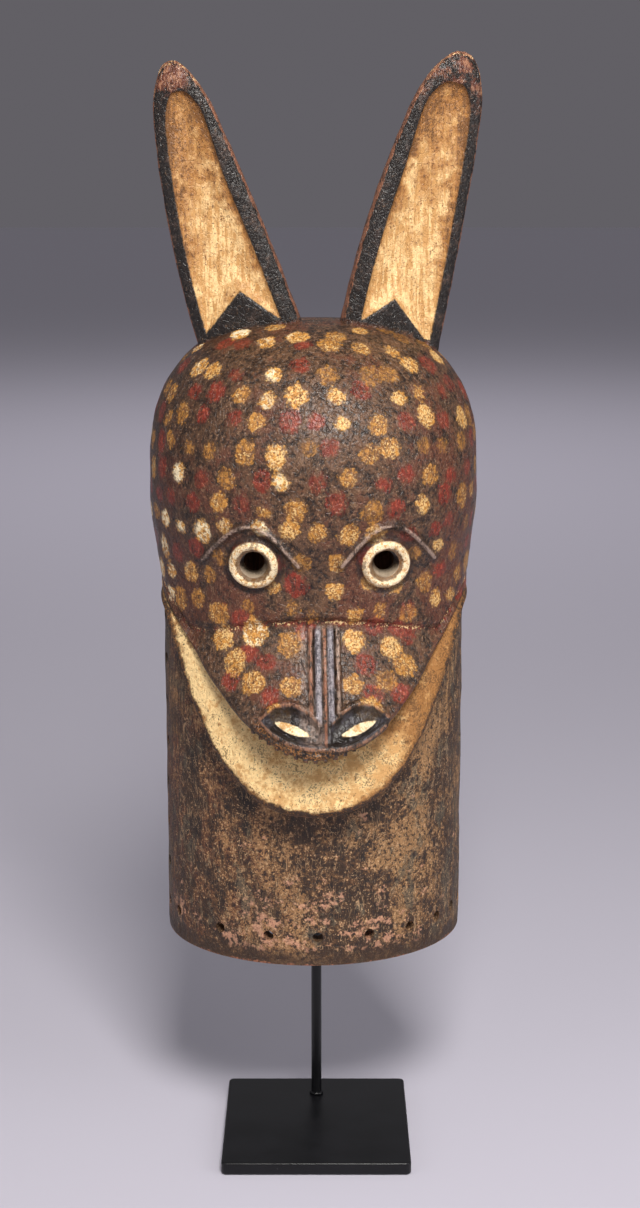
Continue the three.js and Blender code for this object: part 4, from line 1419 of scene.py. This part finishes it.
def makeStay():
    low, high = nodeBox("stand_stay")
    z = (low[2] + high[2]) / 2
    across = math.sin(math.radians(hang["turn"]))
    root = (across * (hang["rodY"] - high[1]), high[1], z)
    padX = across * (hang["rodY"] - low[1])
    wide, thick = steel["pad"]
    stay = roundBar(root, (padX, low[1] + 1.3, z), steel["stay"], "steel_stay")
    along = Vector((-across, 1, 0)).normalized()
    face = Vector((padX, low[1] + 0.35, z))
    pad = roundBar(face, face + along * thick, wide - 0.4, "stay_pad", steel["padEdge"])
    boolean(stay, pad, "UNION")
    return stay


standPaint = blackPaint()
for piece, node in ((makePlate(), "base_plate"), (makeRod(), "stand_rod"), (makeStay(), "stand_stay")):
    piece.data.materials.clear()
    piece.data.materials.append(standPaint)
    shadeSmooth(piece)
    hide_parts(node)
    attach(piece, "root")
    report(piece, node + " made:")


camera = bpy.data.cameras.new("view_camera")
cameraPiece = bpy.data.objects.new("view_camera", camera)
bpy.context.scene.collection.objects.link(cameraPiece)
cameraPiece.location = view["place"]
cameraPiece.rotation_euler = (math.radians(90 - view["tiltDown"]), 0, 0)
camera.sensor_fit = "VERTICAL"
camera.sensor_height = view["sensor"]
camera.lens = view["focalPixels"] / view["pictureHeight"] * view["sensor"]
camera.clip_end = view["reach"]
bpy.context.scene.camera = cameraPiece


# from the mask's own frame to its place on the stand, kept inside the CAD box
def placeOnStand(piece):
    turn = Matrix.Rotation(math.radians(hang["turn"]), 4, "Z")
    shift = Matrix.Translation(Vector((hang["sideways"], hang["aheadOfShell"], 0)) * mm)
    home = Matrix.Translation(Vector((0, hang["rodY"], hang["rimHeight"])) * mm)
    piece.data.transform(home @ turn @ shift)
    low, high = cadBox
    for vertex in piece.data.vertices:
        vertex.co = [min(max(value, least), most) for value, least, most in zip(vertex.co, low, high)]
    piece.data.update()


placeOnStand(mask)
shadeSmooth(mask)
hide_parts("mask")
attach(mask, "root")


# a plain pale floor and soft studio light
studio = {
    "floorSize": 60,
    "floorTone": (0.55, 0.53, 0.61, 1),
    "horizonTone": (0.122, 0.116, 0.130, 1),
    "skyTone": (0.215, 0.210, 0.220, 1),
    "horizon": (0.10, 0.30),
    "lamps": (
        ("key", (0.25, -1.50, 2.05), 0.7, 62, 180, (1.0, 0.97, 0.93), (0, 0, 0.48)),
        ("left_fill", (-1.7, -1.2, 1.0), 1.2, 6, 180, (1.0, 1.0, 1.0), (0, 0, 0.48)),
        ("right_fill", (1.7, -1.0, 1.1), 1.2, 12, 180, (1.0, 1.0, 1.0), (0, 0, 0.48)),
        ("floor_light", (0, 3.6, 3.2), 3.4, 24, 110, (1.0, 0.97, 1.0), (0, 4.2, 0)),
    ),
}

bpy.context.scene.view_settings.view_transform = "Standard"
deselectAll()
bpy.ops.mesh.primitive_plane_add(size=studio["floorSize"], location=(0, 0, -0.0003))
floor = bpy.context.object
floor.name = "studio_floor"
floorPaint = bpy.data.materials.new("pale_floor")
floorPaint.use_nodes = True
floorInputs = floorPaint.node_tree.nodes["Principled BSDF"].inputs
floorInputs["Base Color"].default_value, floorInputs["Roughness"].default_value = studio["floorTone"], 0.8
floor.data.materials.append(floorPaint)

for name, place, size, power, spreadAngle, tone, aim in studio["lamps"]:
    light = bpy.data.lights.new(name, "AREA")
    light.energy, light.size, light.color, light.spread = power, size, tone, math.radians(spreadAngle)
    lamp = bpy.data.objects.new(name, light)
    bpy.context.scene.collection.objects.link(lamp)
    lamp.location = place
    lamp.rotation_euler = (Vector(aim) - Vector(place)).to_track_quat("-Z", "Y").to_euler()

room = bpy.data.worlds.new("room")
bpy.context.scene.world = room
room.use_nodes = True
nodes, links = room.node_tree.nodes, room.node_tree.links
direction = nodes.new("ShaderNodeTexCoord")
parts = nodes.new("ShaderNodeSeparateXYZ")
rise = nodes.new("ShaderNodeMapRange")
rise.interpolation_type = "SMOOTHSTEP"
rise.inputs["From Min"].default_value, rise.inputs["From Max"].default_value = studio["horizon"]
sky = nodes.new("ShaderNodeMix")
sky.data_type = "RGBA"
sky.inputs[6].default_value, sky.inputs[7].default_value = studio["horizonTone"], studio["skyTone"]
links.new(direction.outputs["Generated"], parts.inputs[0])
links.new(parts.outputs["Z"], rise.inputs["Value"])
links.new(rise.outputs["Result"], sky.inputs[0])
links.new(sky.outputs[2], nodes["Background"].inputs["Color"])
print("stage: lights and camera set")
